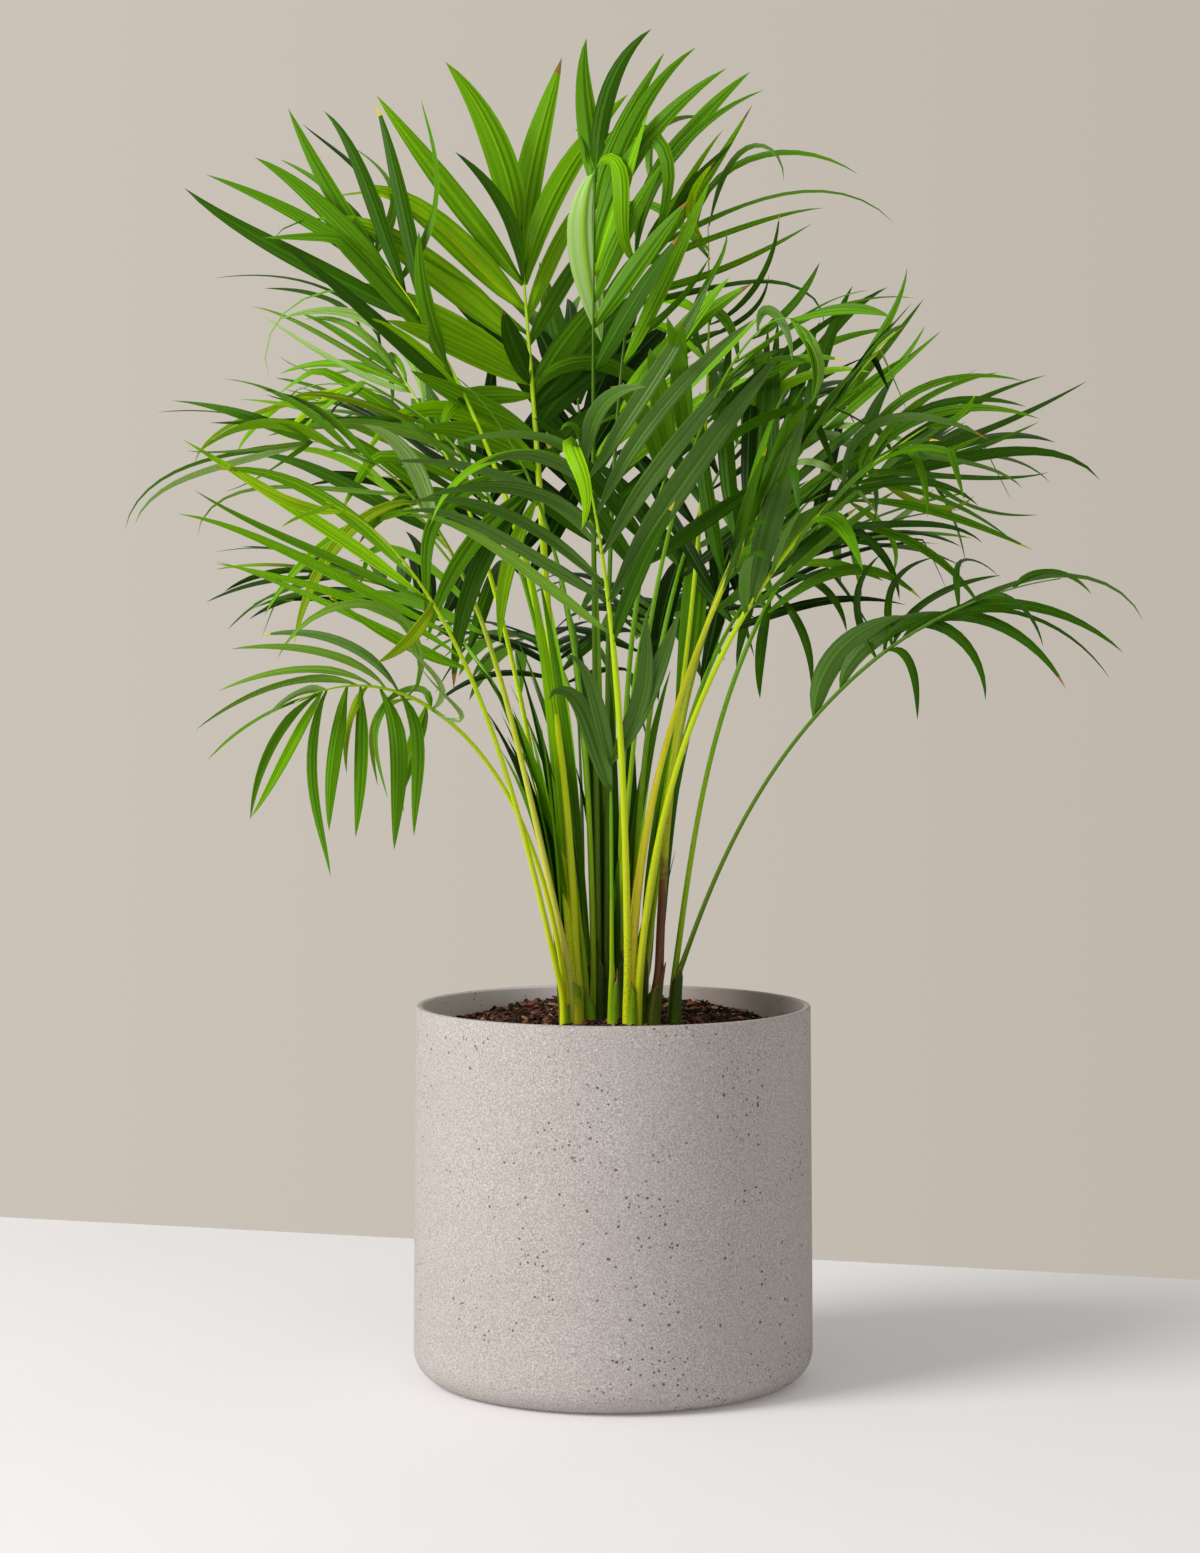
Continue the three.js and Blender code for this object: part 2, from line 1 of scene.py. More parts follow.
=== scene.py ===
import math
import bpy
import numpy as np
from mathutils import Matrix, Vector


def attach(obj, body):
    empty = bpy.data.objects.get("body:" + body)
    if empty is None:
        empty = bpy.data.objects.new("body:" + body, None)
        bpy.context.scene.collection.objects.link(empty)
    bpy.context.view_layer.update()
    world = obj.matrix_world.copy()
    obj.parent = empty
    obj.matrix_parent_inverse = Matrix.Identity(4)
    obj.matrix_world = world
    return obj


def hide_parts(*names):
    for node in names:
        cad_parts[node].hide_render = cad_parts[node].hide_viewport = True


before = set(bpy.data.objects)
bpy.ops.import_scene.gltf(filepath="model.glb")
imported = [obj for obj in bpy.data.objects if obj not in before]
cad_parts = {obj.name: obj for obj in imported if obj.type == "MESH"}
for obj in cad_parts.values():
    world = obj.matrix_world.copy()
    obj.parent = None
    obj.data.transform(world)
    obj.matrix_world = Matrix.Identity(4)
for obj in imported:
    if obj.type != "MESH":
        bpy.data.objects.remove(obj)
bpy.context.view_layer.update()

MM = 0.001

# ---------------------------------------------------------------- sizes, in millimetres
POT_RIM_RADIUS = 125.0
POT_FOOT_RADIUS = 126.9
POT_HEIGHT = 237.3
POT_EDGE_ROUND = 19.5
POT_WALL = 4.2
SOIL_LEVEL = 226.0
SOIL_TILT = 3.4
SOIL_FALL = 7.0


def soil_height(x, y):
    return SOIL_LEVEL + SOIL_TILT * (y / 120) - SOIL_FALL * (x / 100) ** 2


# number: foot x, y; top x, y; radius; top height; depth against width
STEMS = {
    1: ((-30.5, -12.5), (-32, -14.3), 4.6, 252, 1.0),
    2: ((-24.5, -5.5), (-27.6, -6.1), 6.6, 272, 0.8),
    3: ((-17, 3), (-19.3, 2.4), 3.6, 272, 1.0),
    4: ((-9, 8.5), (-8.6, 10), 6.4, 268, 1.0),
    5: ((-2, -17), (-1, -20), 3.2, 262, 1.0),
    6: ((3, 3), (3, 6), 4.6, 268, 1.0),
    7: ((11.5, -17), (12.6, -21.8), 6.6, 265, 1.0),
    8: ((18, 13), (19.5, 16), 5.4, 265, 1.0),
    9: ((24, -10), (29, -14), 4.6, 264, 1.0),
    10: ((38, -3), (41, -5), 4.8, 261, 1.0),
    11: ((-4, 23), (-3, 27), 6.2, 262, 1.0),
    12: ((9, 23.5), (8.9, 27), 5.4, 262, 1.0),
    13: ((-17.5, 16.5), (-19, 18), 5.4, 262, 1.0),
}

# One row for each frond, as in the solids: where it leaves its stem, the way it heads and turns (degrees), how
# steeply it rises and ends, its length and the share that is bare, and its pairs of leaflets.
FRONDS = [
    dict(name='frond_top_centre', stem=2, base=(-28.5, -7, 272), heading=110, turn=-2, rise=80, end=73, bend=1.87, length=504, bare=0.6, pairs=9, leaf=140, width=21, splay=(68, 14), skew=2, lift=12, droop=(0.1, 0.1), sweep=0.15, roll=0, uneven=0, reach=(1, 1, 0.92, 0.85, 0.72)),
    dict(name='frond_upper_left', stem=2, base=(-23.7, -4.3, 272), heading=160, turn=2, rise=87, end=49, bend=1.64, length=480, bare=0.6, pairs=11, leaf=152, width=16, splay=(50, 10), skew=-8, lift=8, droop=(0.15, 0.15), sweep=0.2, roll=-50, uneven=0, reach=(0.9, 1, 1, 0.9, 0.75)),
    dict(name='frond_top_back', stem=4, base=(-9.4, 10.6, 268), heading=76, turn=-4, rise=93, end=87, bend=2.06, length=496, bare=0.62, pairs=10, leaf=112, width=15, splay=(55, 12), skew=0, lift=15, droop=(0.15, 0.15), sweep=0.3, roll=0, uneven=0, reach=(0.9, 1, 1, 0.9, 0.78)),
    dict(name='frond_top_right', stem=4, base=(-4, 12, 268), heading=54, turn=-1, rise=90, end=69, bend=2.85, length=498, bare=0.6, pairs=12, leaf=118, width=12, splay=(50, 14), skew=-4, lift=10, droop=(0.25, 0.25), sweep=0.2, roll=10, uneven=0, reach=(0.9, 1, 1, 0.95, 0.8)),
    dict(name='frond_upper_right_thin', stem=8, base=(17, 14, 265), heading=34, turn=-4, rise=78, end=92, bend=1.48, length=472, bare=0.66, pairs=8, leaf=140, width=7, splay=(62, 50), skew=0, lift=8, droop=(0.6, 1.15), sweep=0, roll=0, uneven=-0.1, reach=(0.8, 0.9, 1, 1, 0.95)),
    dict(name='frond_right_front', stem=7, base=(17, -22, 265), heading=-27, turn=-6, rise=84, end=27, bend=1.29, length=402, bare=0.56, pairs=13, leaf=142, width=11, splay=(52, 14), skew=0, lift=8, droop=(1, 0.4), sweep=0.3, roll=12, uneven=0, reach=(0.95, 1, 1, 0.95, 0.85)),
    dict(name='frond_right_back', stem=10, base=(39.4, -3.4, 261), heading=19, turn=11, rise=82, end=13, bend=2.07, length=405, bare=0.56, pairs=13, leaf=138, width=10, splay=(52, 14), skew=0, lift=8, droop=(1.3, 0.4), sweep=0.3, roll=10, uneven=0, reach=(0.85, 1, 1, 0.95, 0.85)),
    dict(name='frond_right_high', stem=9, base=(29, -14, 264), heading=12, turn=-2, rise=88, end=44, bend=1.71, length=382, bare=0.58, pairs=10, leaf=135, width=11, splay=(50, 14), skew=0, lift=15, droop=(0.15, 0.15), sweep=0.3, roll=40, uneven=0, reach=(0.8, 0.95, 1, 0.85, 0.62)),
    dict(name='frond_right_inner', stem=7, base=(11, -20, 265), heading=-26, turn=-5, rise=87, end=49, bend=1, length=382, bare=0.62, pairs=10, leaf=130, width=11, splay=(50, 14), skew=0, lift=15, droop=(0.6, 0.6), sweep=0.3, roll=20, uneven=0, reach=(0.8, 0.95, 1, 0.85, 0.62)),
    dict(name='frond_right_low', stem=10, base=(42.6, -6.6, 261), heading=-29, turn=1, rise=69, end=7, bend=1.46, length=371, bare=0.62, pairs=7, leaf=100, width=11, splay=(58, 16), skew=0, lift=14, droop=(1.5, 1), sweep=0.4, roll=25, uneven=0, reach=(0.95, 1, 1, 0.95, 0.9)),
    dict(name='frond_front_centre', stem=7, base=(9, -24, 265), heading=-100, turn=-4, rise=85, end=45, bend=1.43, length=338, bare=0.6, pairs=8, leaf=170, width=15, splay=(55, 22), skew=-9, lift=0, droop=(0.35, 0.05), sweep=0.1, roll=0, uneven=0, reach=(1, 0.97, 0.85, 0.7, 0.5)),
    dict(name='frond_left_front', stem=1, base=(-33.5, -16.3, 252), heading=229, turn=14, rise=71, end=8, bend=2.05, length=403, bare=0.56, pairs=12, leaf=158, width=10, splay=(55, 14), skew=0, lift=8, droop=(0.4, 0.2), sweep=0.2, roll=30, uneven=-0.15, reach=(0.9, 1, 1, 0.95, 0.85)),
    dict(name='frond_left_arching', stem=2, base=(-30.5, -11, 272), heading=207, turn=8, rise=76, end=0, bend=3.74, length=386, bare=0.52, pairs=13, leaf=128, width=9, splay=(50, 14), skew=0, lift=12, droop=(0.9, 0.7), sweep=0.3, roll=20, uneven=-0.05, reach=(0.9, 1, 1, 1, 1)),
    dict(name='frond_left_low', stem=1, base=(-30.5, -12.2, 252), heading=226, turn=4, rise=77, end=-21, bend=1.47, length=337, bare=0.66, pairs=8, leaf=122, width=11, splay=(60, 20), skew=0, lift=5, droop=(1, 3.6), sweep=0.1, roll=0, uneven=0.12, reach=(0.9, 1, 1, 0.9, 0.7)),
    dict(name='frond_left_high', stem=2, base=(-30, -2, 272), heading=153, turn=-10, rise=79, end=33, bend=2.65, length=464, bare=0.58, pairs=11, leaf=140, width=10, splay=(50, 16), skew=0, lift=10, droop=(0.5, 0.5), sweep=0.3, roll=-35, uneven=0, reach=(0.8, 0.95, 1, 0.85, 0.62)),
    dict(name='frond_left_middle', stem=3, base=(-19.3, 2.3, 272), heading=174, turn=-8, rise=83, end=-18, bend=3.54, length=452, bare=0.58, pairs=11, leaf=140, width=10, splay=(50, 16), skew=0, lift=10, droop=(0.7, 1.1), sweep=0.3, roll=-25, uneven=0, reach=(0.8, 0.95, 1, 0.85, 0.62)),
    dict(name='frond_front_right', stem=6, base=(2, 4, 268), heading=-55, turn=-20, rise=83, end=-8, bend=2.18, length=519, bare=0.6, pairs=11, leaf=130, width=11, splay=(55, 18), skew=0, lift=15, droop=(0.8, 0.8), sweep=0.3, roll=20, uneven=0, reach=(0.8, 0.95, 1, 0.85, 0.62)),
    dict(name='frond_front_young', stem=5, base=(-1, -20, 262), heading=-92, turn=0, rise=86, end=70, bend=1.5, length=145, bare=0.72, pairs=3, leaf=92, width=16, splay=(30, 16), skew=0, lift=0, droop=(0.1, 0.1), sweep=0.2, roll=0, uneven=0, reach=(1, 1, 1, 0.9, 0.8)),
    dict(name='frond_back_centre', stem=11, base=(-6, 24, 262), heading=96, turn=4, rise=86, end=28, bend=1.9, length=470, bare=0.56, pairs=12, leaf=140, width=12, splay=(55, 16), skew=0, lift=18, droop=(0.5, 0.5), sweep=0.3, roll=0, uneven=0, reach=(0.8, 0.95, 1, 0.85, 0.62)),
    dict(name='frond_back_right', stem=12, base=(12, 26, 262), heading=62, turn=-6, rise=85, end=18, bend=1.8, length=450, bare=0.56, pairs=12, leaf=140, width=11, splay=(55, 16), skew=0, lift=18, droop=(0.6, 0.6), sweep=0.3, roll=8, uneven=0, reach=(0.8, 0.95, 1, 0.85, 0.62)),
    dict(name='frond_back_left', stem=13, base=(-16, 20, 262), heading=126, turn=6, rise=84, end=14, bend=1.8, length=440, bare=0.56, pairs=12, leaf=140, width=11, splay=(55, 16), skew=0, lift=18, droop=(0.6, 0.6), sweep=0.3, roll=-8, uneven=0, reach=(0.8, 0.95, 1, 0.85, 0.62)),
    dict(name='frond_back_low_right', stem=12, base=(4, 28, 262), heading=82, turn=0, rise=80, end=-22, bend=1.6, length=390, bare=0.56, pairs=11, leaf=132, width=11, splay=(58, 18), skew=0, lift=15, droop=(0.9, 0.9), sweep=0.3, roll=0, uneven=0, reach=(0.8, 0.95, 1, 0.85, 0.62)),
    dict(name='frond_side_right', stem=8, base=(22, 18, 265), heading=48, turn=0, rise=80, end=-8, bend=1.9, length=390, bare=0.56, pairs=11, leaf=132, width=10, splay=(58, 18), skew=0, lift=15, droop=(0.8, 0.8), sweep=0.3, roll=8, uneven=0, reach=(0.8, 0.95, 1, 0.85, 0.62)),
    dict(name='frond_side_left', stem=13, base=(-22, 16, 262), heading=138, turn=0, rise=77, end=-10, bend=1.7, length=385, bare=0.56, pairs=11, leaf=132, width=10, splay=(58, 18), skew=0, lift=15, droop=(0.8, 0.8), sweep=0.3, roll=-8, uneven=0, reach=(0.8, 0.95, 1, 0.85, 0.62)),
    dict(name='frond_back_low_left', stem=11, base=(0, 30, 262), heading=108, turn=-4, rise=74, end=-14, bend=1.6, length=350, bare=0.58, pairs=10, leaf=125, width=10, splay=(58, 18), skew=0, lift=12, droop=(1, 1), sweep=0.3, roll=0, uneven=0, reach=(0.8, 0.95, 1, 0.85, 0.62)),
    dict(name='frond_inner_right', stem=6, base=(4, 8, 268), heading=-70, turn=6, rise=88, end=20, bend=2.4, length=400, bare=0.6, pairs=10, leaf=130, width=12, splay=(52, 16), skew=0, lift=10, droop=(0.5, 0.5), sweep=0.3, roll=0, uneven=0, reach=(0.8, 0.95, 1, 0.85, 0.62)),
    dict(name='frond_inner_left', stem=4, base=(-12.6, 7.4, 268), heading=-118, turn=-6, rise=87, end=22, bend=2.2, length=410, bare=0.6, pairs=10, leaf=130, width=12, splay=(52, 16), skew=0, lift=10, droop=(0.5, 0.5), sweep=0.3, roll=0, uneven=0, reach=(0.8, 0.95, 1, 0.85, 0.62)),
]

# Leaflets that the photograph shows well, by frond: place on the rachis (0 first, 1 last), side, way it heads and
# turns, how steeply it rises and ends (degrees), how late it bends, length, width, tint.
MEASURED = {
    "frond_back_centre": (
        (0.508, -1, 56, 9, 59, 44, 0.4, 122, 14.7, "dark"),
        (0.545, -1, 45, 6, 52, 33, 0.4, 115, 14.7, "dark"),
        (0.621, -1, 67, -13, 70, 48, 0.48, 130, 14.8, "deep"),
        (0.621, 1, 131, -17, 53, 44, 0.4, 83, 14.8, "dark"),
        (0.697, 1, 119, -16, 59, 49, 0.45, 117, 14.9, "deep"),
    ),
    "frond_back_right": (
        (0.242, -1, 243, -35, -99, -76, 0.4, 142, 17.2, "mid"),
        (0.318, -1, 304, 133, -55, -123, 0.77, 128, 13.3, "dark"),
        (0.508, -1, 51, -135, -53, -123, 0.95, 144, 12.0, "deep"),
        (0.848, -1, 22, -19, 107, 3, 0.4, 119, 6.1, "mid"),
        (0.167, 1, 130, -50, -50, -58, 0.4, 130, 15.8, "dark"),
        (1.0, 1, 16, -1, 58, 25, 1.94, 109, 6.9, "deep"),
    ),
    "frond_front_centre": (
        (0.083, -1, 188, 10, 37, -10, 4.5, 152, 7.3, "silver"),
        (0.25, -1, 188, 9, 31, -17, 4.5, 142, 7.3, "grey"),
        (0.333, -1, 200, 5, 40, -14, 1.66, 146, 7.3, "grey"),
        (0.5, -1, 192, 0, 66, -5, 0.63, 149, 6.6, "grey"),
        (0.583, -1, 206, 5, 62, -18, 0.56, 126, 8.4, "grey"),
        (0.833, -1, 219, 4, 52, -22, 0.73, 92, 6.6, "grey"),
        (0.917, -1, 186, 14, 39, -72, 0.99, 116, 5.3, "fresh"),
        (1.0, -1, 193, -7, 71, -17, 0.4, 83, 5.3, "grey"),
        (1.0, -1, 215, 170, 138, -110, 0.4, 87, 10.6, "bright"),
        (0.042, 1, 298, -1, 65, 39, 0.42, 116, 9.8, "deep"),
        (0.25, 1, 345, -5, 62, 48, 0.67, 191, 15.8, "grey"),
        (0.5, 1, 346, -5, 64, 46, 0.4, 161, 11.5, "grey"),
        (0.708, 1, 343, 1, 65, 35, 0.92, 152, 10.2, "grey"),
        (0.917, 1, 346, -8, 55, 64, 4.5, 139, 10.7, "grey"),
        (1.0, 1, 277, 52, 65, -6, 1.26, 80, 10.6, "grey"),
        (1.0, 1, 262, -39, 57, -65, 3.35, 40, 5.3, "mid"),
    ),
    "frond_front_right": (
        (1.0, -1, 322, -77, -42, -53, 0.4, 62, 5.1, "mid"),
        (1.0, -1, 334, -107, -41, -51, 0.78, 69, 4.5, "silver"),
        (0.667, 1, 326, -36, 14, 41, 0.4, 71, 4.7, "deep"),
        (0.708, 1, 282, 39, 154, -91, 0.4, 66, 5.8, "grey"),
    ),
    "frond_front_young": (
        (0.226, -1, 217, 8, 69, -65, 4.5, 92, 13.7, "grey"),
        (0.643, -1, 246, -20, 66, 16, 4.5, 85, 9.3, "grey"),
        (0.702, 1, 343, -11, 53, 68, 0.4, 104, 13.6, "grey"),
        (0.821, 1, 1, -106, 45, 89, 0.68, 93, 11.8, "grey"),
    ),
    "frond_inner_left": (
        (0.333, -1, 163, -75, -61, -79, 1.8, 100, 9.9, "bright"),
        (0.375, -1, 180, 31, -46, -89, 0.94, 137, 12.3, "deep"),
        (0.375, -1, 187, 27, -34, -76, 1.07, 119, 11.1, "mid"),
        (0.458, -1, 153, 138, -10, -132, 1.5, 132, 9.8, "mid"),
    ),
    "frond_inner_right": (
        (0.75, 1, 314, 1, 46, 8, 0.97, 94, 7.3, "deep"),
    ),
    "frond_left_arching": (
        (0.41, -1, 173, -10, 28, -4, 4.5, 135, 8.6, "deep"),
        (0.514, -1, 177, -7, 1, -62, 0.85, 125, 6.8, "fresh"),
        (0.549, -1, 178, -11, 31, -80, 0.4, 128, 8.0, "gold"),
        (0.583, -1, 180, -10, 5, -90, 4.5, 148, 2.5, "silver"),
        (1.0, -1, 186, 14, -9, -80, 3.18, 132, 2.4, "deep"),
        (1.0, -1, 191, 18, -15, -72, 4.5, 124, 4.2, "pale"),
        (1.0, -1, 213, 13, -8, 3, 2.96, 90, 1.8, "silver"),
        (1.0, -1, 221, 5, -32, -12, 2.16, 74, 1.8, "mid"),
        (0.444, 1, 252, -27, 56, 5, 1.81, 99, 11.1, "pale"),
    ),
    "frond_left_front": (
        (-0.023, -1, 183, 2, 25, 14, 4.5, 164, 4.8, "fresh"),
        (-0.023, -1, 200, -7, 0, 38, 0.4, 100, 4.8, "fresh"),
        (0.015, -1, 184, 1, 49, 10, 0.4, 161, 5.4, "fresh"),
        (0.129, -1, 186, 12, 27, 7, 4.5, 179, 6.6, "fresh"),
        (0.28, -1, 190, 6, 39, 30, 0.4, 176, 8.4, "bright"),
        (0.28, -1, 189, 6, 23, 33, 4.5, 156, 5.4, "mid"),
        (0.28, -1, 242, -20, -76, -21, 0.4, 62, 7.8, "gold"),
        (0.394, -1, 207, 5, 43, -8, 1.86, 150, 8.3, "fresh"),
        (0.886, -1, 212, 22, -18, 29, 0.4, 86, 6.3, "lime"),
        (0.962, -1, 213, 17, -16, -34, 2.76, 39, 2.3, "bright"),
    ),
    "frond_left_high": (
        (0.484, -1, 144, 37, 94, -23, 0.87, 138, 8.4, "pale"),
        (0.603, -1, 149, -109, 85, -119, 0.93, 80, 5.2, "fresh"),
        (0.762, -1, 152, 33, 106, -10, 0.4, 136, 2.6, "deep"),
        (0.563, 1, 164, 8, 5, 36, 0.4, 114, 3.9, "pale"),
        (0.563, 1, 165, -5, 40, -20, 0.9, 98, 5.8, "fresh"),
        (0.603, 1, 158, 3, 52, -12, 1.98, 89, 5.9, "silver"),
        (0.603, 1, 171, -6, 30, 9, 4.5, 117, 3.9, "silver"),
        (0.643, 1, 165, -9, 34, 15, 3.75, 84, 5.2, "mid"),
        (0.762, 1, 145, -6, -42, 30, 0.71, 97, 2.0, "silver"),
        (0.881, 1, 131, 22, 60, 3, 0.4, 93, 2.6, "deep"),
    ),
    "frond_left_low": (
        (-0.029, -1, 97, 89, 50, -68, 1.01, 65, 4.2, "mid"),
        (0.02, -1, 133, -51, -55, -48, 0.4, 89, 3.6, "bright"),
        (0.02, -1, 93, 46, -14, -66, 0.4, 79, 4.8, "mid"),
        (0.118, -1, 159, -102, 30, -71, 0.4, 87, 3.6, "gold"),
        (0.216, -1, 33, 130, -36, -89, 0.4, 92, 8.4, "mid"),
        (0.216, -1, 161, 3, 62, -12, 0.79, 104, 6.0, "grey"),
        (0.265, -1, 174, -170, -41, -76, 0.4, 72, 3.6, "mid"),
        (0.314, -1, 196, 1, 71, -8, 0.4, 102, 4.8, "silver"),
        (0.363, -1, 331, -116, -44, -86, 0.4, 100, 10.7, "mid"),
        (0.412, -1, 193, 8, 53, -25, 0.44, 99, 4.2, "silver"),
        (0.461, -1, 230, 56, -25, -60, 0.4, 66, 4.1, "gold"),
        (0.51, -1, 275, -8, -68, -45, 0.4, 110, 8.3, "mid"),
        (0.51, -1, 199, 18, 39, -34, 0.4, 112, 4.1, "silver"),
        (-0.029, 1, 317, -163, 19, 48, 0.4, 68, 2.4, "pale"),
        (-0.029, 1, 342, -170, -53, 57, 0.51, 84, 2.4, "pale"),
        (0.167, 1, 229, -45, 174, -65, 0.57, 147, 6.0, "silver"),
        (0.608, 1, 253, 22, -54, -45, 2.31, 105, 8.8, "mid"),
        (0.755, 1, 237, -121, -37, -115, 0.43, 114, 6.4, "mid"),
        (0.755, 1, 213, 19, 25, -36, 0.4, 48, 3.5, "pale"),
        (0.804, 1, 206, 57, -16, -63, 0.4, 97, 5.2, "mid"),
        (0.804, 1, 228, 9, -52, -39, 4.5, 94, 6.4, "fresh"),
    ),
    "frond_left_middle": (
        (0.325, 1, 194, 8, 38, -18, 0.72, 133, 7.6, "silver"),
        (0.484, 1, 209, 20, 13, -34, 4.5, 117, 5.1, "gold"),
        (0.524, 1, 187, 7, -5, -1, 0.4, 136, 5.7, "deep"),
        (0.762, 1, 215, 11, -51, 12, 0.4, 78, 1.9, "mid"),
        (0.802, 1, 189, 5, -17, -77, 4.5, 118, 3.2, "lime"),
        (0.802, 1, 212, 31, -27, -47, 2.59, 73, 5.1, "lime"),
        (1.0, 1, 197, 14, -40, -77, 4.11, 60, 3.9, "fresh"),
    ),
    "frond_right_back": (
        (0.091, -1, 247, 26, -54, -45, 2.27, 79, 7.0, "deep"),
        (0.129, -1, 320, -58, -32, -53, 0.4, 83, 5.8, "deep"),
        (0.205, -1, 335, -55, 7, -55, 0.58, 72, 5.1, "deep"),
        (0.242, -1, 320, -3, 55, -20, 0.67, 71, 6.4, "deep"),
        (0.242, -1, 328, -17, 28, -22, 0.4, 75, 5.8, "fresh"),
        (0.432, -1, 334, -20, 2, -37, 3.99, 122, 4.5, "deep"),
        (0.47, -1, 343, -32, -3, -53, 0.98, 132, 5.8, "mid"),
        (0.508, -1, 331, -56, -33, -61, 3.08, 89, 5.8, "deep"),
        (0.583, -1, 353, -3, 14, -27, 0.4, 124, 5.8, "mid"),
        (0.583, -1, 350, -51, -32, -137, 2.67, 65, 4.5, "fresh"),
        (0.697, -1, 349, -13, -3, -38, 0.82, 103, 3.2, "mid"),
        (0.735, -1, 15, 5, -33, 42, 2.03, 74, 4.5, "gold"),
        (0.924, -1, 42, -7, -63, 4, 0.46, 120, 2.6, "mid"),
        (0.924, -1, 42, 30, -42, -52, 3.37, 95, 2.6, "mid"),
        (1.0, -1, 29, 15, 3, -34, 2.09, 108, 2.6, "grey"),
    ),
    "frond_right_front": (
        (0.091, -1, 297, -1, 73, 53, 0.49, 135, 16.0, "grey"),
        (0.621, -1, 286, 74, 140, -32, 0.4, 128, 6.1, "grey"),
        (0.697, -1, 339, 12, 102, -17, 0.64, 132, 5.4, "mid"),
        (0.697, -1, 336, 2, 77, -21, 0.61, 128, 6.0, "mid"),
        (0.735, -1, 304, 23, 85, 6, 0.4, 117, 3.6, "mid"),
        (0.242, 1, 47, 7, 45, 20, 3.51, 66, 9.2, "silver"),
        (0.621, 1, 12, 10, 12, -41, 1.99, 92, 5.4, "deep"),
        (0.659, 1, 3, 3, 13, -52, 4.19, 159, 7.3, "deep"),
        (0.659, 1, 14, 7, 6, 26, 0.4, 100, 6.7, "fresh"),
        (0.697, 1, 6, 2, 43, 15, 0.89, 132, 4.2, "deep"),
        (0.697, 1, 10, 8, 7, 26, 0.97, 121, 4.2, "mid"),
        (0.735, 1, 338, 12, 82, -19, 0.65, 114, 5.4, "deep"),
        (0.735, 1, 350, -9, -5, 13, 4.17, 110, 3.0, "deep"),
        (0.811, 1, 356, -2, -2, 29, 0.4, 130, 4.2, "deep"),
        (0.848, 1, 301, -12, 67, -89, 0.4, 68, 5.4, "mid"),
        (0.848, 1, 330, -23, -10, -38, 4.5, 99, 2.4, "grey"),
        (1.0, 1, 331, -39, 0, 48, 0.9, 44, 4.2, "mid"),
    ),
    "frond_right_high": (
        (0.524, -1, 6, -65, 111, -112, 0.8, 143, 6.9, "grey"),
        (0.643, -1, 304, 27, 66, -56, 0.4, 97, 5.1, "pale"),
        (0.802, -1, 320, -12, 50, 22, 0.4, 97, 5.7, "mid"),
        (0.881, -1, 331, -24, 2, -32, 1.0, 88, 5.1, "pale"),
        (1.0, -1, 353, -15, -5, 60, 0.4, 75, 4.4, "mid"),
        (0.96, 1, 16, 6, 56, 84, 4.5, 106, 5.7, "mid"),
        (1.0, 1, 13, 6, 45, 52, 0.4, 88, 4.4, "mid"),
    ),
    "frond_right_low": (
        (-0.316, -1, 318, 32, 88, 11, 0.87, 93, 14.8, "grey"),
        (-0.14, -1, 341, 11, 93, 0, 0.56, 93, 11.7, "grey"),
        (0.123, -1, 347, -8, 132, -90, 0.46, 103, 7.3, "deep"),
        (0.123, -1, 310, -40, 71, -89, 0.4, 68, 5.5, "deep"),
        (0.211, -1, 352, -9, 78, -61, 0.5, 124, 7.3, "deep"),
        (0.254, -1, 352, -7, 43, -43, 0.82, 143, 6.7, "deep"),
        (0.298, -1, 353, -9, 30, -68, 2.41, 156, 3.0, "grey"),
        (0.386, -1, 353, -10, 28, -56, 0.83, 123, 3.0, "deep"),
        (0.605, -1, 328, -39, 58, -59, 0.4, 68, 3.0, "deep"),
        (0.781, -1, 323, -14, 47, -44, 0.79, 64, 3.0, "deep"),
        (0.079, 1, 138, -105, 53, 35, 2.01, 89, 4.9, "deep"),
        (0.167, 1, 47, -24, 77, 7, 0.4, 102, 4.3, "deep"),
        (0.167, 1, 112, -94, 65, 9, 1.26, 90, 3.7, "deep"),
        (0.518, 1, 114, -105, 83, -52, 1.06, 78, 2.4, "deep"),
    ),
    "frond_side_left": (
        (1.0, 1, 148, -9, -15, -17, 1.52, 60, 2.1, "mid"),
    ),
    "frond_side_right": (
        (1.0, 1, 34, 14, 26, 30, 0.47, 79, 4.8, "pale"),
    ),
    "frond_top_back": (
        (0.561, -1, 323, -3, 62, 47, 1.45, 101, 11.4, "mid"),
        (0.693, -1, 336, 8, 84, 28, 0.81, 151, 12.0, "mid"),
        (0.781, -1, 331, 12, 72, 32, 2.02, 135, 10.7, "mid"),
        (0.868, -1, 348, -27, 95, 49, 0.4, 108, 8.9, "mid"),
        (0.956, -1, 331, 23, 85, 34, 2.11, 105, 11.4, "deep"),
        (1.0, -1, 320, -96, 115, -157, 0.4, 104, 10.8, "fresh"),
        (1.0, -1, 359, -85, 110, -166, 0.73, 134, 9.5, "mid"),
        (0.912, 1, 120, 70, 82, 104, 4.5, 100, 13.9, "mid"),
        (1.0, 1, 161, 81, -48, -113, 0.4, 111, 21.5, "pale"),
        (1.0, 1, 137, 8, 69, 7, 4.33, 33, 3.8, "mid"),
    ),
    "frond_top_centre": (
        (0.042, -1, 46, -5, 53, 13, 0.73, 107, 12.9, "deep"),
        (0.167, -1, 48, -8, 67, 17, 0.4, 113, 15.5, "deep"),
        (0.25, -1, 39, 13, 42, 32, 3.44, 129, 16.9, "deep"),
        (0.292, -1, 50, 1, 52, 34, 0.76, 122, 16.9, "mid"),
        (0.292, -1, 28, 17, 85, -52, 0.5, 134, 11.0, "mid"),
        (0.458, -1, 52, 8, 57, 41, 0.4, 119, 10.4, "mid"),
